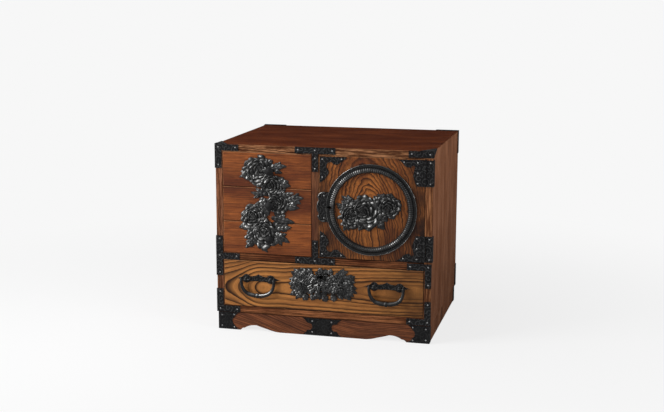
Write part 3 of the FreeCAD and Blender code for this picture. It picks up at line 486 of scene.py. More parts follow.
upright = pi / 2
top_wood = lacquered(
    "top_wood", (0.160, 0.042, 0.015), (0.074, 0.017, 0.007), (0.018, 0.005, 0.003),
    log_lying((0.02, 0.0, 0.03), (0.0, 0.30, -0.30)), (0.0034, 0.014, 0.0014), (1.0, 0.6, 0.5),
    gloss=0.002, roughness=0.7, front_edge=((0.31, 0.143, 0.067), (0.105, 0.039, 0.018)))
rail_wood = lacquered(
    "rail_wood", (0.335, 0.127, 0.052), (0.092, 0.028, 0.013), (0.010, 0.005, 0.003),
    log_lying((0.02, 0.02, 0.0), (0.0, 0.20, 0.10)), (0.0034, 0.012, 0.0018), (1.0, 0.75, 0.6),
    gloss=0.01, roughness=0.6, shade=rail_shade)
plinth_wood = lacquered(
    "plinth_wood", (0.190, 0.062, 0.024), (0.115, 0.036, 0.015), (0.014, 0.006, 0.004),
    log_of_plinth, (0.0034, 0.008, 0.0010), (1.0, 0.6, 0.5))
post_wood = lacquered(
    "post_wood", (0.240, 0.092, 0.040), (0.062, 0.019, 0.009), (0.016, 0.007, 0.004),
    log_lying((0.03, upright, 0.0), (0.0, 0.21, 0.1)), (0.0044, 0.014, 0.0016), (0.95, 0.6, 0.5))
side_wood = side_board("side_wood", (0.24, 0.098, 0.050), (0.12, 0.042, 0.019))
right_side_wood = side_board("right_side_wood", (0.33, 0.142, 0.062), (0.13, 0.046, 0.020))
small_drawer_wood = lacquered(
    "small_drawer_wood", (0.272, 0.079, 0.0195), (0.092, 0.022, 0.0080), (0.034, 0.011, 0.006),
    log_lying((0.015, 0.02, 0.03), (0.0, 0.24, -0.02)), (0.0036, 0.014, 0.0024), (0.6, 0.7, 0.4),
    worn_and_lit=(0.40, 0.19, 0.085))
wide_drawer_wood = lacquered(
    "wide_drawer_wood", (0.410, 0.168, 0.045), (0.250, 0.094, 0.026), (0.014, 0.006, 0.003),
    log_of_wide_drawer, (0.0066, 0.012, 0.0026), (1.0, 0.80, 0.30),
    worn_and_lit=(0.42, 0.20, 0.09), shade=wide_drawer_shade, key=wide_drawer_key)
door_wood = lacquered(
    "door_wood", (0.345, 0.117, 0.028), (0.100, 0.027, 0.010), (0.014, 0.006, 0.004),
    log_of_door, (0.0054, 0.040, 0.012), (1.0, 0.9, 0.35),
    worn_and_lit=(0.40, 0.19, 0.08), shade=door_shade, key=door_key)
inner_wood = lacquered(
    "inner_wood", (0.50, 0.33, 0.18), (0.40, 0.25, 0.13), (0.20, 0.11, 0.05),
    log_lying((0.0, 0.02, 0.02), (0.0, 0.2, 0.1)), (0.0045, 0.01, 0.001), (0.5, 0.6, 0.2),
    worn_and_lit=(0.55, 0.38, 0.22))
plain_iron = ironwork("plain_iron")
chased_iron = ironwork("chased_iron", chased=1.2, worn_and_lit=0.5, lines=0.085)
plinth_iron = ironwork("plinth_iron", chased=0.8, worn_and_lit=0.5, lines=0.03)
lock_iron = ironwork("lock_iron", chased=0.9, worn_and_lit=0.9, turns=2.4)
hinge_iron = ironwork("hinge_iron", chased=1.0)
peony_iron = ironwork("peony_iron", rubbing_and_highlight=1.0, roughness=0.46, size=0.6, shine=0.12, dents=0.08)
door_peony_iron = ironwork("door_peony_iron", rubbing_and_highlight=0.78, roughness=0.48, size=0.6, shine=0.10, dents=0.08)
hoop_iron = ironwork("hoop_iron", rubbing_and_highlight=0.85, roughness=0.26, shine=0.20, dents=0.04)
handle_iron = ironwork("handle_iron", rubbing_and_highlight=0.55, roughness=0.27, shine=0.14, dents=0.06)
knob_iron = ironwork("knob_iron", rubbing_and_highlight=0.06, roughness=0.5, shine=0.1)
nail_iron = nail_finish()


# ---- Finishes of the carried-over nodes ----
def dress(material, *names):
    for name in names:
        mesh = nodes[name].data
        mesh.materials.clear()
        mesh.materials.append(material)


def ease_edges(width, least_angle, *names):
    """Round the edges that turn by more than an angle. The width is in millimetres."""
    for name in names:
        eased = nodes[name].modifiers.new("Eased edge", "BEVEL")
        eased.width, eased.segments, eased.limit_method = width * MM, 2, "ANGLE"
        eased.angle_limit = radians(least_angle)


drawer_fronts = [drawer + "_front" for drawer in small_drawers]
chased_plates = ["rear_irons", "door_corner_irons", "handle_plates"]
chased_plates += ["iron_" + place for place in (
    "top_left", "top_centre", "top_right", "middle_left", "centre", "middle_right", "bottom_left",
    "bottom_right")]
plinth_plates = ("plinth_corner_irons", "plinth_centre_iron")

dress(top_wood, "top_panel")
dress(rail_wood, "bottom_panel", "middle_shelf")
dress(plinth_wood, "plinth_front", "plinth_back")
dress(side_wood, "left_side_panel", "plinth_sides")
dress(right_side_wood, "right_side_panel")
dress(post_wood, "centre_divider")
# The ends of these two boards show in the sides, and are finished like them.
for name in ("top_panel", "bottom_panel"):
    mesh = nodes[name].data
    mesh.materials.append(side_wood)
    for face in mesh.polygons:
        if abs(face.normal.x) > 0.9:
            face.material_index = 1
dress(inner_wood, "back_panel", "door_stop", "drawer_runners", "wide_drawer_walls", "wide_drawer_bottom",
      *[drawer + part for drawer in small_drawers for part in ("_walls", "_bottom")])
dress(small_drawer_wood, *drawer_fronts)
dress(wide_drawer_wood, "wide_drawer_front")
dress(door_wood, "door_panel")
dress(chased_iron, *chased_plates)
dress(plinth_iron, *plinth_plates)
dress(lock_iron, "door_lock_plate")
dress(hinge_iron, "door_hinge_leaves", "case_hinge_leaves")
dress(plain_iron, "hinge_pins", "handle_studs", "door_lock_case", "drawer_lock_case", "door_bolt",
      "drawer_bolt", "left_bail", "right_bail", *[drawer + "_knob" for drawer in small_drawers])
dress(nail_iron, "case_nails", "door_nails")
ease_edges(0.25, 50, "door_lock_plate", *chased_plates, *plinth_plates)
ease_edges(0.7, 60, "door_panel", "wide_drawer_front", *drawer_fronts)
ease_edges(0.5, 60, "top_panel", "middle_shelf", "bottom_panel", "centre_divider", "left_side_panel",
           "right_side_panel")


# ---- Building shapes ----
def smooth(value):
    value = max(0.0, min(1.0, value))
    return value * value * (3 - 2 * value)


def hump(value, centre, width):
    """1 at the centre, falling away to nothing over about two widths."""
    return exp(-(((value - centre) / width) ** 2))


def placed(name, data):
    """A new object in the scene."""
    made = bpy.data.objects.new(name, data)
    bpy.context.scene.collection.objects.link(made)
    return made


class Work:
    """Points, faces and highlights of one piece, rubbed and painted, in metres."""

    def __init__(self):
        self.points, self.faces, self.rubbed, self.starts = [], [], [], []

    def start(self):
        """Note where the next closed shell begins."""
        self.starts.append((len(self.points), len(self.faces)))

    def point(self, place, rubbed=0.0):
        self.points.append(place)
        self.rubbed.append(max(0.0, min(1.0, rubbed)))

    def rings(self, rings, closed=False):
        """Join rings of points, each given as a list of (place, rubbed and painted brightness)."""
        self.start()
        base, around = len(self.points), len(rings[0])
        for ring in rings:
            for place, rubbed in ring:
                self.point(place, rubbed)
        for i in range(len(rings) if closed else len(rings) - 1):
            for j in range(around):
                a, b = base + i * around + j, base + i * around + (j + 1) % around
                below = base + ((i + 1) % len(rings)) * around
                self.faces.append((a, b, below + (j + 1) % around, below + j))
        if not closed:
            last = base + (len(rings) - 1) * around
            self.faces.append(tuple(range(base, base + around)))
            self.faces.append(tuple(range(last + around - 1, last - 1, -1)))

    def circle(self, centre, side, other, radius, rubbed, around):
        """One round ring of points. The radius is in millimetres."""
        turns = (2 * pi * k / around for k in range(around))
        return [(centre + (side * cos(a) + other * sin(a)) * radius * MM, rubbed) for a in turns]

    def turned(self, centre, axis, profile, around=24):
        """A lathe-turned part. profile is (distance along the axis, radius, rubbed and painted brightness)
        in millimetres.
        """
        centre, axis = Vector(centre), Vector(axis)
        side = axis.orthogonal().normalized()
        other = axis.cross(side)
        self.rings([self.circle(centre + axis * along * MM, side, other, max(radius, 0.01), rubbed, around)
                    for along, radius, rubbed in profile])

    def wire(self, path, radii, rubbed, around):
        """Wire forged along a path that lies in a plane facing the front."""
        rings, out = [], Vector((0, -1, 0))
        for k, place in enumerate(path):
            before, after = path[max(k - 1, 0)], path[min(k + 1, len(path) - 1)]
            side = (after - before).normalized().cross(out).normalized()
            rings.append(self.circle(place, side, out, radii[k], rubbed[k], around))
        self.rings(rings)

    def made(self, name, material, sharp=38, faced=0.0):
        """The mesh piece with its finish.

        faced gives how far the rubbed and painted highlights are kept to the parts that face the light at
        the upper left.
        Edges that turn by more than sharp degrees stay sharp.
        """
        mesh, rubbed = bpy.data.meshes.new(name), self.rubbed
        mesh.from_pydata(self.points, [], self.faces)
        work = bmesh.new()
        work.from_mesh(mesh)
        bmesh.ops.recalc_face_normals(work, faces=work.faces)
        work.to_mesh(mesh)
        work.free()
        # Painted highlight: keep the rubbed brightening to the parts that face the light at the upper left.
        if faced:
            rubbed = [value * (1 - faced + faced * smooth((v.normal.dot(rubbed_towards) - 0.55) / 0.28))
                      for value, v in zip(rubbed, mesh.vertices)]
        mesh.attributes.new("rubbed", "FLOAT", "POINT").data.foreach_set("value", rubbed)
        mesh.polygons.foreach_set("use_smooth", [True] * len(mesh.polygons))
        mesh.set_sharp_from_angle(angle=radians(sharp))
        mesh.materials.append(material)
        return placed(name, mesh)


def finish_piece(piece, body, *replaced):
    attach(piece, body)
    if replaced:
        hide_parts(*replaced)


# ---- Peony ironwork in relief ----
class Relief(Work):
    """Closed shells hammered up from a flat seat, laid over one another."""

    def __init__(self, x, seat, z):
        super().__init__()
        self.x, self.seat, self.z = x, seat, z

    def shell(self, rows, columns, shape):
        """shape(s, t) gives (along, up, rise, rubbed and painted brightness) for s from 0 to 1 and t from -1
        to 1.
        """
        self.start()
        base, wide = len(self.points), columns + 1
        grid = [shape(i / rows, -1 + 2 * j / columns) for i in range(rows + 1) for j in range(wide)]
        for along, up, rise, rubbed in grid:
            height = min(max(rise, least_rise), most_rise)
            self.point((self.x + along * MM, self.seat - height * MM, self.z + up * MM), rubbed)
        for along, up, rise, rubbed in grid:
            self.point((self.x + along * MM, self.seat, self.z + up * MM))
        under = len(grid)
        for i in range(rows):
            for j in range(columns):
                a = base + i * wide + j
                b, c, d = a + 1, a + wide + 1, a + wide
                self.faces += [(a, b, c, d), (a + under, d + under, c + under, b + under)]
        rim = [i * wide for i in range(rows + 1)]
        rim += [rows * wide + j for j in range(1, wide)]
        rim += [i * wide + columns for i in range(rows - 1, -1, -1)]
        rim += range(columns - 1, 0, -1)
        for a, b in zip(rim, rim[1:] + rim[:1]):
            self.faces.append((base + a, base + b, base + b + under, base + a + under))

    def petal(self, x, z, turn, length, width, low, high, lobes, chance):
        """A broad cupped petal: sunk across its middle, with a scalloped rim rolled up and over."""
        ax, az = cos(turn), sin(turn)
        tilt, shift = chance.uniform(-1.2, 1.2), chance.uniform(-0.2, 0.2)
        sweep = chance.uniform(-0.3, 0.3)

        def shape(s, t):
            part = ((t + 1) / 2 * lobes + shift) % 1.0 - 0.5
            lobe = 1 - 4 * part * part
            reach = length * s * (1 - 0.30 * t * t * s + 0.10 * (lobe - 0.6) * smooth(s * 1.3))
            half = width / 2 * (0.42 + 0.58 * sin(min(1.0, s * 1.2) * pi / 2))
            side = t * half + sweep * length * s * s
            rise = low + (high - low) * smooth(s / 0.8) + tilt * t * s
            hollow = 2.2 * hump(s, 0.58, 0.18) * (1 - 0.5 * t * t)
            rolled = 1.4 * hump(s, 0.84, 0.11) * (0.3 + 0.7 * lobe) - 2.4 * smooth((s - 0.93) / 0.07)
            creases = 2.1 * (lobe - 0.5) * smooth(s * 2.0 - 0.6)
            sides = 1.2 * smooth((abs(t) - 0.82) / 0.18)
            # Rubbed and painted highlight on the rolled rim.
            rubbed = (0.4 + 0.6 * hump(s, 0.84, 0.14)) * smooth(lobe * 1.8)
            rise += rolled + creases - hollow - sides
            return x + ax * reach - az * side, z + az * reach + ax * side, rise, rubbed

        self.shell(18, 7 * lobes + 3, shape)

    def foliage(self, x, z, radius, chance):
        """A mass of small leaves on a low mound, heaped up towards its middle."""
        def mound(s, t):
            away = 0.86 * radius * s
            return x + away * cos(pi * t), z + away * sin(pi * t), 2.6 - 1.8 * s * s, 0.4

        self.shell(10, 24, mound)
        for count, first, reach, height in foliage_rows:
            away = 2 * pi * chance.random()
            for k in range(count):
                turn = away + 2 * pi * (k + chance.uniform(-0.25, 0.25)) / count
                self.lobe(x + first * radius * cos(turn), z + first * radius * sin(turn),
                          turn + chance.uniform(-0.5, 0.5), radius * reach * chance.uniform(0.85, 1.1),
                          chance.uniform(9.0, 12.0), height + chance.uniform(-0.5, 0.5), chance)

    def blossom(self, x, z, radius, chance):
        """A full blossom: rows of cupped petals that close over a heart set off to one side."""
        off = chance.uniform(0, 2 * pi)
        for row, (petals, reach, width, low, high, lobes) in enumerate(petal_rows):
            first, away = chance.uniform(0, 2 * pi), 0.05 * row * radius
            for k in range(petals):
                turn = first + 2 * pi * k / petals + chance.uniform(-0.16, 0.16)
                self.petal(x + away * cos(off), z + away * sin(off), turn,
                           radius * reach * chance.uniform(0.93, 1.06),
                           radius * width * chance.uniform(0.92, 1.12), low, high, lobes, chance)

    def lobe(self, x, z, turn, length, width, height, chance):
        """One pointed lobe of a leaf, with a sunk midrib and slanting side veins."""
        ax, az = cos(turn), sin(turn)
        bend = chance.uniform(-0.08, 0.08) * length
        veins = max(1.6, length / 8.0)

        def shape(s, t):
            half = width / 2 * sin(pi * min(1.0, 0.06 + 0.94 * s ** 0.85)) ** 0.75
            half *= 1 + 0.16 * sin(2 * pi * veins * s) * smooth((1 - s) * 3)
            side = t * half + bend * sin(pi * s)
            rib = 1 - hump(t, 0, 0.15)
            vein = cos(2 * pi * (veins * s - 0.9 * abs(t)))
            rise = height * (0.45 + 0.55 * sin(pi * (0.12 + 0.88 * s) ** 0.9))
            rise *= (0.74 + 0.26 * rib) * (1 - 0.55 * t * t)
            rise += 0.75 * vein * rib * (1 - t * t) * smooth((1 - s) * 4)
            # Rubbed and painted highlight along the ribs.
            rubbed = 1.1 * (0.4 + 0.6 * rib) * (1 - t ** 4) * smooth(s * 3) * (0.7 + 0.3 * vein)
            return x + ax * length * s - az * side, z + az * length * s + ax * side, rise, rubbed

        self.shell(22, 10, shape)

    def leaf(self, x0, z0, x1, z1, width, chance):
        """A peony leaf: one long lobe between two short ones."""
        length, turn = hypot(x1 - x0, z1 - z0), atan2(z1 - z0, x1 - x0)
        for side in (-1, 1):
            at = chance.uniform(0.18, 0.34)
            self.lobe(x0 + (x1 - x0) * at, z0 + (z1 - z0) * at, turn + side * chance.uniform(0.45, 0.7),
                      length * chance.uniform(0.45, 0.6), width * 0.62, leaf_rise, chance)
        self.lobe(x0, z0, turn, length, width * 0.82, leaf_rise + 0.5, chance)


def peony(x, seat, z, blossoms, leaves, seed, masses=()):
    chance = random.Random(seed)
    relief = Relief(x, seat, z)
    for kind, laid in ((relief.leaf, leaves), (relief.foliage, masses), (relief.blossom, blossoms)):
        for one in laid:
            kind(*one, chance)
    return relief


def cut_level(piece, z, keep_above):
    """Saw a piece at a level and close the cut."""
    work = bmesh.new()
    work.from_mesh(piece.data)
    everything = work.verts[:] + work.edges[:] + work.faces[:]
    cut = bmesh.ops.bisect_plane(work, geom=everything, plane_co=(0, 0, z), plane_no=(0, 0, 1),
                                 clear_inner=keep_above, clear_outer=not keep_above)
    edges = [e for e in cut["geom_cut"] if isinstance(e, bmesh.types.BMEdge)]
    bmesh.ops.holes_fill(work, edges=edges, sides=0)
    work.to_mesh(piece.data)
    work.free()


# A keyhole's round radius, how far its slot reaches to the left, and half the slot's width.
key_radius, key_slot, key_half = 4.0, 6.6, 1.6
key_steps = 20
drill_reach = 0.03
drill_near = (9 * MM, 6 * MM)  # shells with no point this near a keyhole, along and up, are left alone


def drilled(work, x, z):
    """The work with a keyhole drilled through the shells that reach it."""
    turn = asin(key_half / key_radius)
    turns = [turn + (2 * pi - 2 * turn) * k / key_steps for k in range(key_steps + 1)]
    outline = [(-key_slot, key_half), (-key_slot, -key_half)]
    outline += [(-key_radius * cos(a), -key_radius * sin(a)) for a in turns]
    drill = Work()
    drill.rings([[((x + a * MM, y, z + b * MM), 0.0) for a, b in outline]
                 for y in (front + drill_reach, front - drill_reach)])
    cutter, result = drill.made("drill", plain_iron), Work()
    marks = work.starts + [(len(work.points), len(work.faces))]
    for (point, face), (next_point, next_face) in zip(marks, marks[1:]):
        shell = Work()
        shell.points = work.points[point:next_point]
        shell.rubbed = work.rubbed[point:next_point]
        shell.faces = [[v - point for v in corners] for corners in work.faces[face:next_face]]
        if any(abs(p[0] - x) < drill_near[0] and abs(p[2] - z) < drill_near[1] for p in shell.points):
            piece = shell.made("shell", plain_iron)
            cut = piece.modifiers.new("Keyhole", "BOOLEAN")
            cut.object, cut.operation, cut.solver = cutter, "DIFFERENCE", "EXACT"
            mesh = piece.evaluated_get(bpy.context.evaluated_depsgraph_get()).to_mesh()
            shell.points = [tuple(v.co) for v in mesh.vertices]
            shell.rubbed = [value.value for value in mesh.attributes["rubbed"].data]
            shell.faces = [list(polygon.vertices) for polygon in mesh.polygons]
            bpy.data.objects.remove(piece)
        base = len(result.points)
        result.points += shell.points
        result.rubbed += shell.rubbed
        result.faces += [[v + base for v in corners] for corners in shell.faces]
    bpy.data.objects.remove(cutter)
    return result


# How far the peonies' painted highlight is kept to the parts that face the light.
peony_faced = 0.86
door_peony = peony(hoop_middle.x, door_face, hoop_middle.z, door_blossoms, door_leaves, seed=5)
finish_piece(door_peony.made("door_peony_chased", door_peony_iron, faced=peony_faced), "door", "door_peony")

wide_z = middle("wide_drawer_front").z + wide_rise * MM
wide_peony = peony(0.0, front, wide_z, wide_blossoms, wide_leaves, seed=11, masses=wide_masses)
wide_peony = drilled(wide_peony, *wide_drawer_key)
finish_piece(wide_peony.made("wide_drawer_peony_chased", peony_iron, faced=peony_faced),
             "wide_drawer", "wide_drawer_peony")

for drawer in small_drawers:
    stack = peony(bay_middle, front, bay_high.z - stack_drop * MM, stack_blossoms, stack_leaves, seed=3)
    piece = stack.made(drawer + "_peony_chased", peony_iron, faced=peony_faced)
    low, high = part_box(drawer + "_front")
    cut_level(piece, high.z + split_overlap, False)
    cut_level(piece, low.z - split_overlap, True)
    finish_piece(piece, drawer, drawer + "_peony")


# ---- Turned knobs ----
# (rise from the drawer's front, radius, how far it is rubbed and painted bright), in millimetres.
knob_profile = [
    (0.0, 5.7, 0), (0.6, 5.7, 0.2), (1.2, 5.3, 0.3), (1.8, 4.7, 0), (2.6, 4.2, 0), (6.0, 4.0, 0),
    (10.2, 4.2, 0), (11.2, 4.8, 0), (11.8, 6.4, 0), (12.2, 8.0, 0.1), (12.7, 8.8, 0.3), (13.3, 9.0, 0.5),
    (13.9, 8.9, 0.4), (14.5, 8.5, 0.2), (15.3, 7.5, 0.1), (16.2, 6.0, 0.05), (17.0, 4.2, 0),
    (17.6, 2.4, 0), (17.9, 1.0, 0), (18.0, 0.0, 0),
]
for drawer in small_drawers:
    knob, place = Work(), middle(drawer + "_knob")
    knob.turned((place.x, front, place.z), (0, -1, 0), knob_profile, around=40)
    finish_piece(knob.made(drawer + "_pull", knob_iron, sharp=60), drawer, drawer + "_knob")


# ---- Hoop on the door ----
hoop_ridges = 124
hoop_ridge_depth = 0.9
hoop_ridge = (0.0, 0.60, 0.90, 0.99, 1.0, 0.99, 0.90, 0.60)  # the height of one ridge, step by step
# Section of the hoop, from its inside edge outwards: distance in from the outer edge, rise, and
# how much the ridges bite there.
hoop_section = [
    (17.5, 0.0, 0), (17.5, 1.3, 0), (17.2, 1.6, 0), (16.8, 2.0, 0), (16.6, 3.4, 0.6), (16.0, 4.9, 1),
    (15.0, 6.3, 1), (13.6, 7.3, 1), (12.0, 7.7, 1), (10.2, 7.4, 1), (8.7, 6.5, 1), (7.5, 5.1, 1),
    (6.7, 3.6, 0.6), (6.4, 1.9, 0), (6.2, 1.0, 0), (5.6, 0.8, 0), (5.0, 1.5, 0), (2.8, 1.7, 0),
    (1.7, 1.7, 0), (1.4, 2.2, 0), (1.1, 2.9, 0), (0.6, 3.2, 0), (0.15, 2.9, 0), (0.0, 2.2, 0), (0.0, 0.0, 0),
]
# The crest's distance in from the outer edge, half the ridged width, the rise where the ridges end
# and the crest's height above that.
hoop_crest, hoop_half, hoop_foot, hoop_height = 12.0, 5.2, 2.6, 5.1


def hoop():
    made, rings = Work(), []
    steps = len(hoop_ridge)
    around, outer = hoop_ridges * steps, hoop_radius / MM
    for i in range(around):
        angle, ring = 2 * pi * i / around, []
        wave = hoop_ridge[i % steps]
        for inset, rise, bite in hoop_section:
            sunk = bite * hoop_ridge_depth * (1 - wave)
            radius = outer - inset - sunk * (hoop_crest - inset) / hoop_half
            height = max(rise - sunk * max(rise - hoop_foot, 0.0) / hoop_height, 0.0)
            place = (hoop_middle.x + radius * cos(angle) * MM, door_face - height * MM,
                     hoop_middle.z + radius * sin(angle) * MM)
            # Painted highlight: the ridges are painted bright at the upper left and inside at the lower
            # right, and the outer lip all round.
            if bite:
                outer_highlight = hump(cos(angle - outer_highlight_at), 1.0, 0.36) * smooth((inset - 7.2) / 1.6)
                inner_highlight = hump(cos(angle - inner_highlight_at), 1.0, 0.34) * smooth((inset - 10.5) / 2.5)
                rubbed = wave ** 4 * (0.04 + 0.60 * max(outer_highlight, inner_highlight))
            else:
                rubbed = 0.7 if 0.05 < inset < 1.2 and rise > 2.3 else 0.0
            ring.append((place, rubbed))
        rings.append(ring)
    made.rings(rings, closed=True)
    return drilled(made, *door_key)


finish_piece(hoop().made("door_hoop", hoop_iron), "door", "door_ring")


# ---- Rim and middle nail of the door's lock plate ----
rim_radius, rim_inset, rim_step = 1.6, 1.7, 0.8
rim_nail = [(-0.1, 2.3, 0.2), (0.5, 2.2, 0.3), (1.0, 1.7, 0.4), (1.3, 1.0, 0.4), (1.4, 0.1, 0.4)]
rim_nail_place = (15.5, 4.0)  # in from the plate's left end, and above the keyhole


def front_outline(mesh):
    """The longest loop of points round the front face of a flat plate."""
    edges = [edge for face in mesh.polygons if face.normal.y < -0.9 for edge in face.edge_keys]
    ways, loops = {}, []
    for a, b in edges:
        if edges.count((a, b)) == 1:
            ways.setdefault(a, []).append(b)
            ways.setdefault(b, []).append(a)
    while ways:
        ahead, loop = [min(ways)], []
        while ahead:
            loop.append(mesh.vertices[ahead[0]].co.copy())
            ahead = [v for v in ways.pop(ahead[0]) if v in ways]
        loops.append(loop)
    return max(loops, key=lambda loop: sum((a - b).length for a, b in zip(loop, loop[1:])))


def lock_rim():
    """A rolled rim along the lock plate's free edge, and the nail head by its keyhole."""
    loop = front_outline(nodes["door_lock_plate"].data)
    least = hoop_radius + rim_radius * MM
    clear = [hypot(p.x - hoop_middle.x, p.z - hoop_middle.z) > least for p in loop]
    first = next(k for k in range(len(loop)) if clear[k] and not clear[k - 1])
    arc = (loop[first:] + loop[:first])[:(clear[first:] + clear[:first]).index(False)]
    if arc[0].z < arc[-1].z:
        arc.reverse()
    path = []
    for a, b in zip(arc, arc[1:]):
        pieces = max(1, round((b - a).length / (rim_step * MM)))
        path += [a.lerp(b, k / pieces) for k in range(pieces)]
    path.append(arc[-1])
    for _ in range(3):
        path = [path[0]] + [(a + b + c) / 3 for a, b, c in zip(path, path[1:], path[2:])] + [path[-1]]
    inside = []
    for k, place in enumerate(path):
        ahead = (path[min(k + 1, len(path) - 1)] - path[max(k - 1, 0)]).normalized()
        inside.append(place + Vector((-ahead.z, 0, ahead.x)) * rim_inset * MM)
    made, count = Work(), len(inside)
    # The rim is painted bright, a painted highlight where it faces the light.
    made.wire(inside, [rim_radius] * count, [1.0] * count, around=12)
    nail = (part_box("door_lock_plate")[0].x + rim_nail_place[0] * MM, path[0].y,
            door_key[1] + rim_nail_place[1] * MM)
    made.turned(nail, (0, -1, 0), rim_nail, around=20)
    finish_piece(made.made("door_lock_rim", hoop_iron, faced=0.95), "door")


lock_rim()


# ---- Handles of the wide drawer ----
# Profiles are (distance along, radius, how far it is rubbed and painted bright), in millimetres.
bail_half, bail_drop, bail_pivot = 35.5, 33.0, 8.0
bail_end, bail_swell, bail_waist = 3.2, 1.3, 0.8  # radius at its ends, and its gain and loss at the middle
bail_power = 2 / 2.6  # less than 1 squares the shoulders of the D
bail_steps = 56
bail_bead = [(-5.2, 0.6, 0.2), (-4.6, 3.0, 0.6), (-3.3, 4.5, 1), (-1.6, 5.2, 1), (0.0, 5.4, 1),
             (1.6, 5.2, 1), (3.3, 4.5, 1), (4.6, 3.0, 0.6), (5.2, 0.6, 0.2)]
bail_drip = [(0, 4.2, 0.8), (3.4, 3.1, 0.9), (4.9, 1.4, 1), (5.6, 0.1, 1)]
bail_collars = [
    [(5.6, 2.0, 0), (5.7, 4.3, 0.7), (6.1, 4.7, 1), (6.8, 4.7, 1), (7.2, 4.3, 0.7), (7.3, 2.0, 0)],
    [(8.2, 2.0, 0), (8.3, 4.0, 0.6), (8.8, 4.3, 0.9), (9.3, 4.0, 0.6), (9.4, 2.0, 0)],
]
bail_elbow = [(-3.4, 0.4, 0.4), (-2.9, 1.9, 0.6), (-1.8, 2.95, 0.8), (0, 3.4, 0.8), (1.6, 3.0, 0.8),
              (2.4, 2.3, 0.5), (2.9, 1.5, 0.3), (3.4, 1.9, 0.8), (4.0, 1.9, 0.9), (4.5, 1.2, 0.9),
              (4.7, 0.2, 0.9)]
bail_pin = [(18.4, 0.3, 0.3), (18.9, 1.8, 0.5), (20.0, 2.25, 0.6), (21.0, 2.0, 0.4), (21.3, 1.65, 0.1),
            (35.0, 1.65, 0)]
stud_reach, stud_plate, stud_ball = 26.5, 1.2, 3.5
stud_rose = [(0.0, 4.4, 0), (0.5, 4.4, 0.3), (0.9, 3.9, 0.4), (1.1, 3.2, 0.1), (1.6, 2.7, 0),
             (2.1, 2.4, 0), (2.6, 2.3, 0), (3.2, 2.6, 0)]


def bail(body, x):
    """A D-shaped handle forged thicker towards its beaded middle, with a pin at each end."""
    pivot = Vector((x, front - bail_pivot * MM, handle_z))
    made, path, radii, rubbed = Work(), [], [], []
    for k in range(bail_steps + 1):
        angle = pi * k / bail_steps
        c, s = cos(angle), sin(angle)
        along = -copysign(abs(c) ** bail_power, c) * bail_half
        path.append(pivot + Vector((along, 0, -(s ** bail_power) * bail_drop)) * MM)
        share = 1 - abs(2 * k / bail_steps - 1)
        radii.append(bail_end + bail_swell * smooth(share * 1.1) - bail_waist * hump(share, 1.0, 0.07))
        # Rubbed and painted highlight, brighter towards the middle.
        rubbed.append(0.45 + 0.55 * smooth(share * 1.6 - 0.3))
    made.wire(path, radii, rubbed, around=18)
    low = pivot + Vector((0, 0, -bail_drop * MM))
    made.turned(low, (1, 0, 0), bail_bead, around=28)
    made.turned(low, (0, 0, -1), bail_drip, around=20)
    for side in (-1, 1):
        out = (side, 0, 0)
        for collar in bail_collars:
            made.turned(low, out, collar)
        made.turned(pivot + Vector((side * bail_half * MM, 0, 0)), (0, 0, 1), bail_elbow)
        made.turned(pivot, out, bail_pin, around=20)
    finish_piece(made.made(body + "_forged", handle_iron, faced=0.97), body, body)


def studs():
    """Ball-headed eyes that carry the handles, each on a rose."""
    turns = (pi * (0.26 + 0.74 * k / 12) for k in range(1, 13))
    ball = [(bail_pivot - stud_plate - stud_ball * cos(a), stud_ball * sin(a), 0.4) for a in turns]
    made = Work()
    for x in handle_middles:
        for side in (-1, 1):
            centre = (x + side * stud_reach * MM, front - stud_plate * MM, handle_z)
            made.turned(centre, (0, -1, 0), stud_rose + ball, around=28)
    finish_piece(made.made("handle_eyes", handle_iron, sharp=50, faced=0.9), "wide_drawer", "handle_studs")


for body, x in zip(("left_bail", "right_bail"), handle_middles):
    bail(body, x)
studs()


# ---- Floor, light and camera ----
floor_reach = 30.0
# Name, place, width and height, and power in watts.
lamps = [
    ("key_left", (-1.15, -0.95, 0.95), (0.75, 1.2), 28.0),
    ("overhead", (-0.6, -0.2, 1.9), (1.0, 1.0), 7.0),
    ("fill_right", (1.9, -0.9, 1.2), (0.9, 1.2), 17.0),
]
lamps_aim = Vector((0.0, -0.1, 0.2))
# The camera's place, how far it is turned, tilted down and rolled, and its lens in millimetres.
camera_place = Vector((0.5784, front - 2.2315, 0.7108))
camera_turn, camera_tilt, camera_roll = radians(14.02), radians(10.7), radians(0.13)
camera_sensor, camera_lens, camera_far = 36.0, 62.5, 50.0


def seen(tree):
    """1 for what the eye, a polished face or glass sees, 0 for light that falls on the object."""
    path = add(tree, "LightPath")
    both = maths("MAXIMUM", path["Is Camera Ray"], path["Is Glossy Ray"])
    return maths("MAXIMUM", both, path["Is Transmission Ray"])


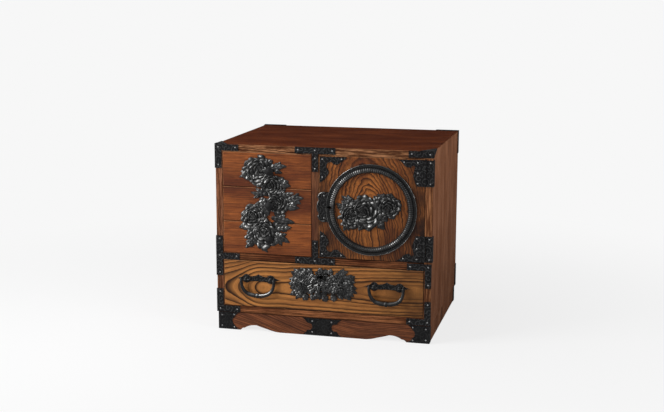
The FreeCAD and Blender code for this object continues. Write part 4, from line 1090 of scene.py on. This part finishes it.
def stage():
    """A pale paper floor that keeps the chest's shadow and runs out into the background."""
    material, tree, inputs = finish_of("floor_paper")
    sheet = Work()
    for x, y in ((-1, -1), (1, -1), (1, 1), (-1, 1)):
        sheet.point((x * floor_reach, y * floor_reach, 0))
    sheet.faces.append((0, 1, 2, 3))
    link(paper_white, inputs["Base Color"])
    link(0.9, inputs["Roughness"])
    link(0.0, inputs["Specular IOR Level"])
    paper = Given(tree.nodes["Principled BSDF"].outputs[0])
    glow = add(tree, "Emission", {"Color": (background_white,) * 3, "Strength": 1.0})
    away = maths("LENGTH", add(tree, "TexCoord")["Object"])
    share = seen(tree) * ease(away, 0.3, 1.3, 0.84, 1.0)
    mixed = add(tree, "MixShader", {0: share, 1: paper, 2: glow})
    link(mixed, tree.nodes["Material Output"].inputs["Surface"])
    sheet.made("floor", material)


def light():
    world = bpy.data.worlds.new("studio")
    bpy.context.scene.world = world
    world.use_nodes = True
    inputs = world.node_tree.nodes["Background"].inputs
    link((1.0, 1.0, 1.0), inputs["Color"])
    link(ease(seen(world.node_tree), 0.0, 1.0, room_light, background_white), inputs["Strength"])
    for name, place, size, power in lamps:
        data = bpy.data.lights.new(name, "AREA")
        data.shape, data.size, data.size_y, data.energy = "RECTANGLE", size[0], size[1], power
        made = placed(name, data)
        made.location = place
        made.rotation_euler = (lamps_aim - Vector(place)).to_track_quat("-Z", "Y").to_euler()


def camera():
    data = bpy.data.cameras.new("camera")
    data.sensor_width, data.lens, data.clip_end = camera_sensor, camera_lens, camera_far
    made = placed("camera", data)
    c, s, level = cos(camera_turn), sin(camera_turn), cos(camera_tilt)
    right, back = Vector((c, s, 0.0)), Vector((s * level, -c * level, sin(camera_tilt)))
    up = back.cross(right)
    c, s = cos(camera_roll), sin(camera_roll)
    right, up = c * right + s * up, c * up - s * right
    made.matrix_world = Matrix.Translation(camera_place) @ Matrix((right, up, back)).transposed().to_4x4()
    bpy.context.scene.camera = made


stage()
light()
camera()
bpy.context.scene.view_settings.view_transform = "Standard"
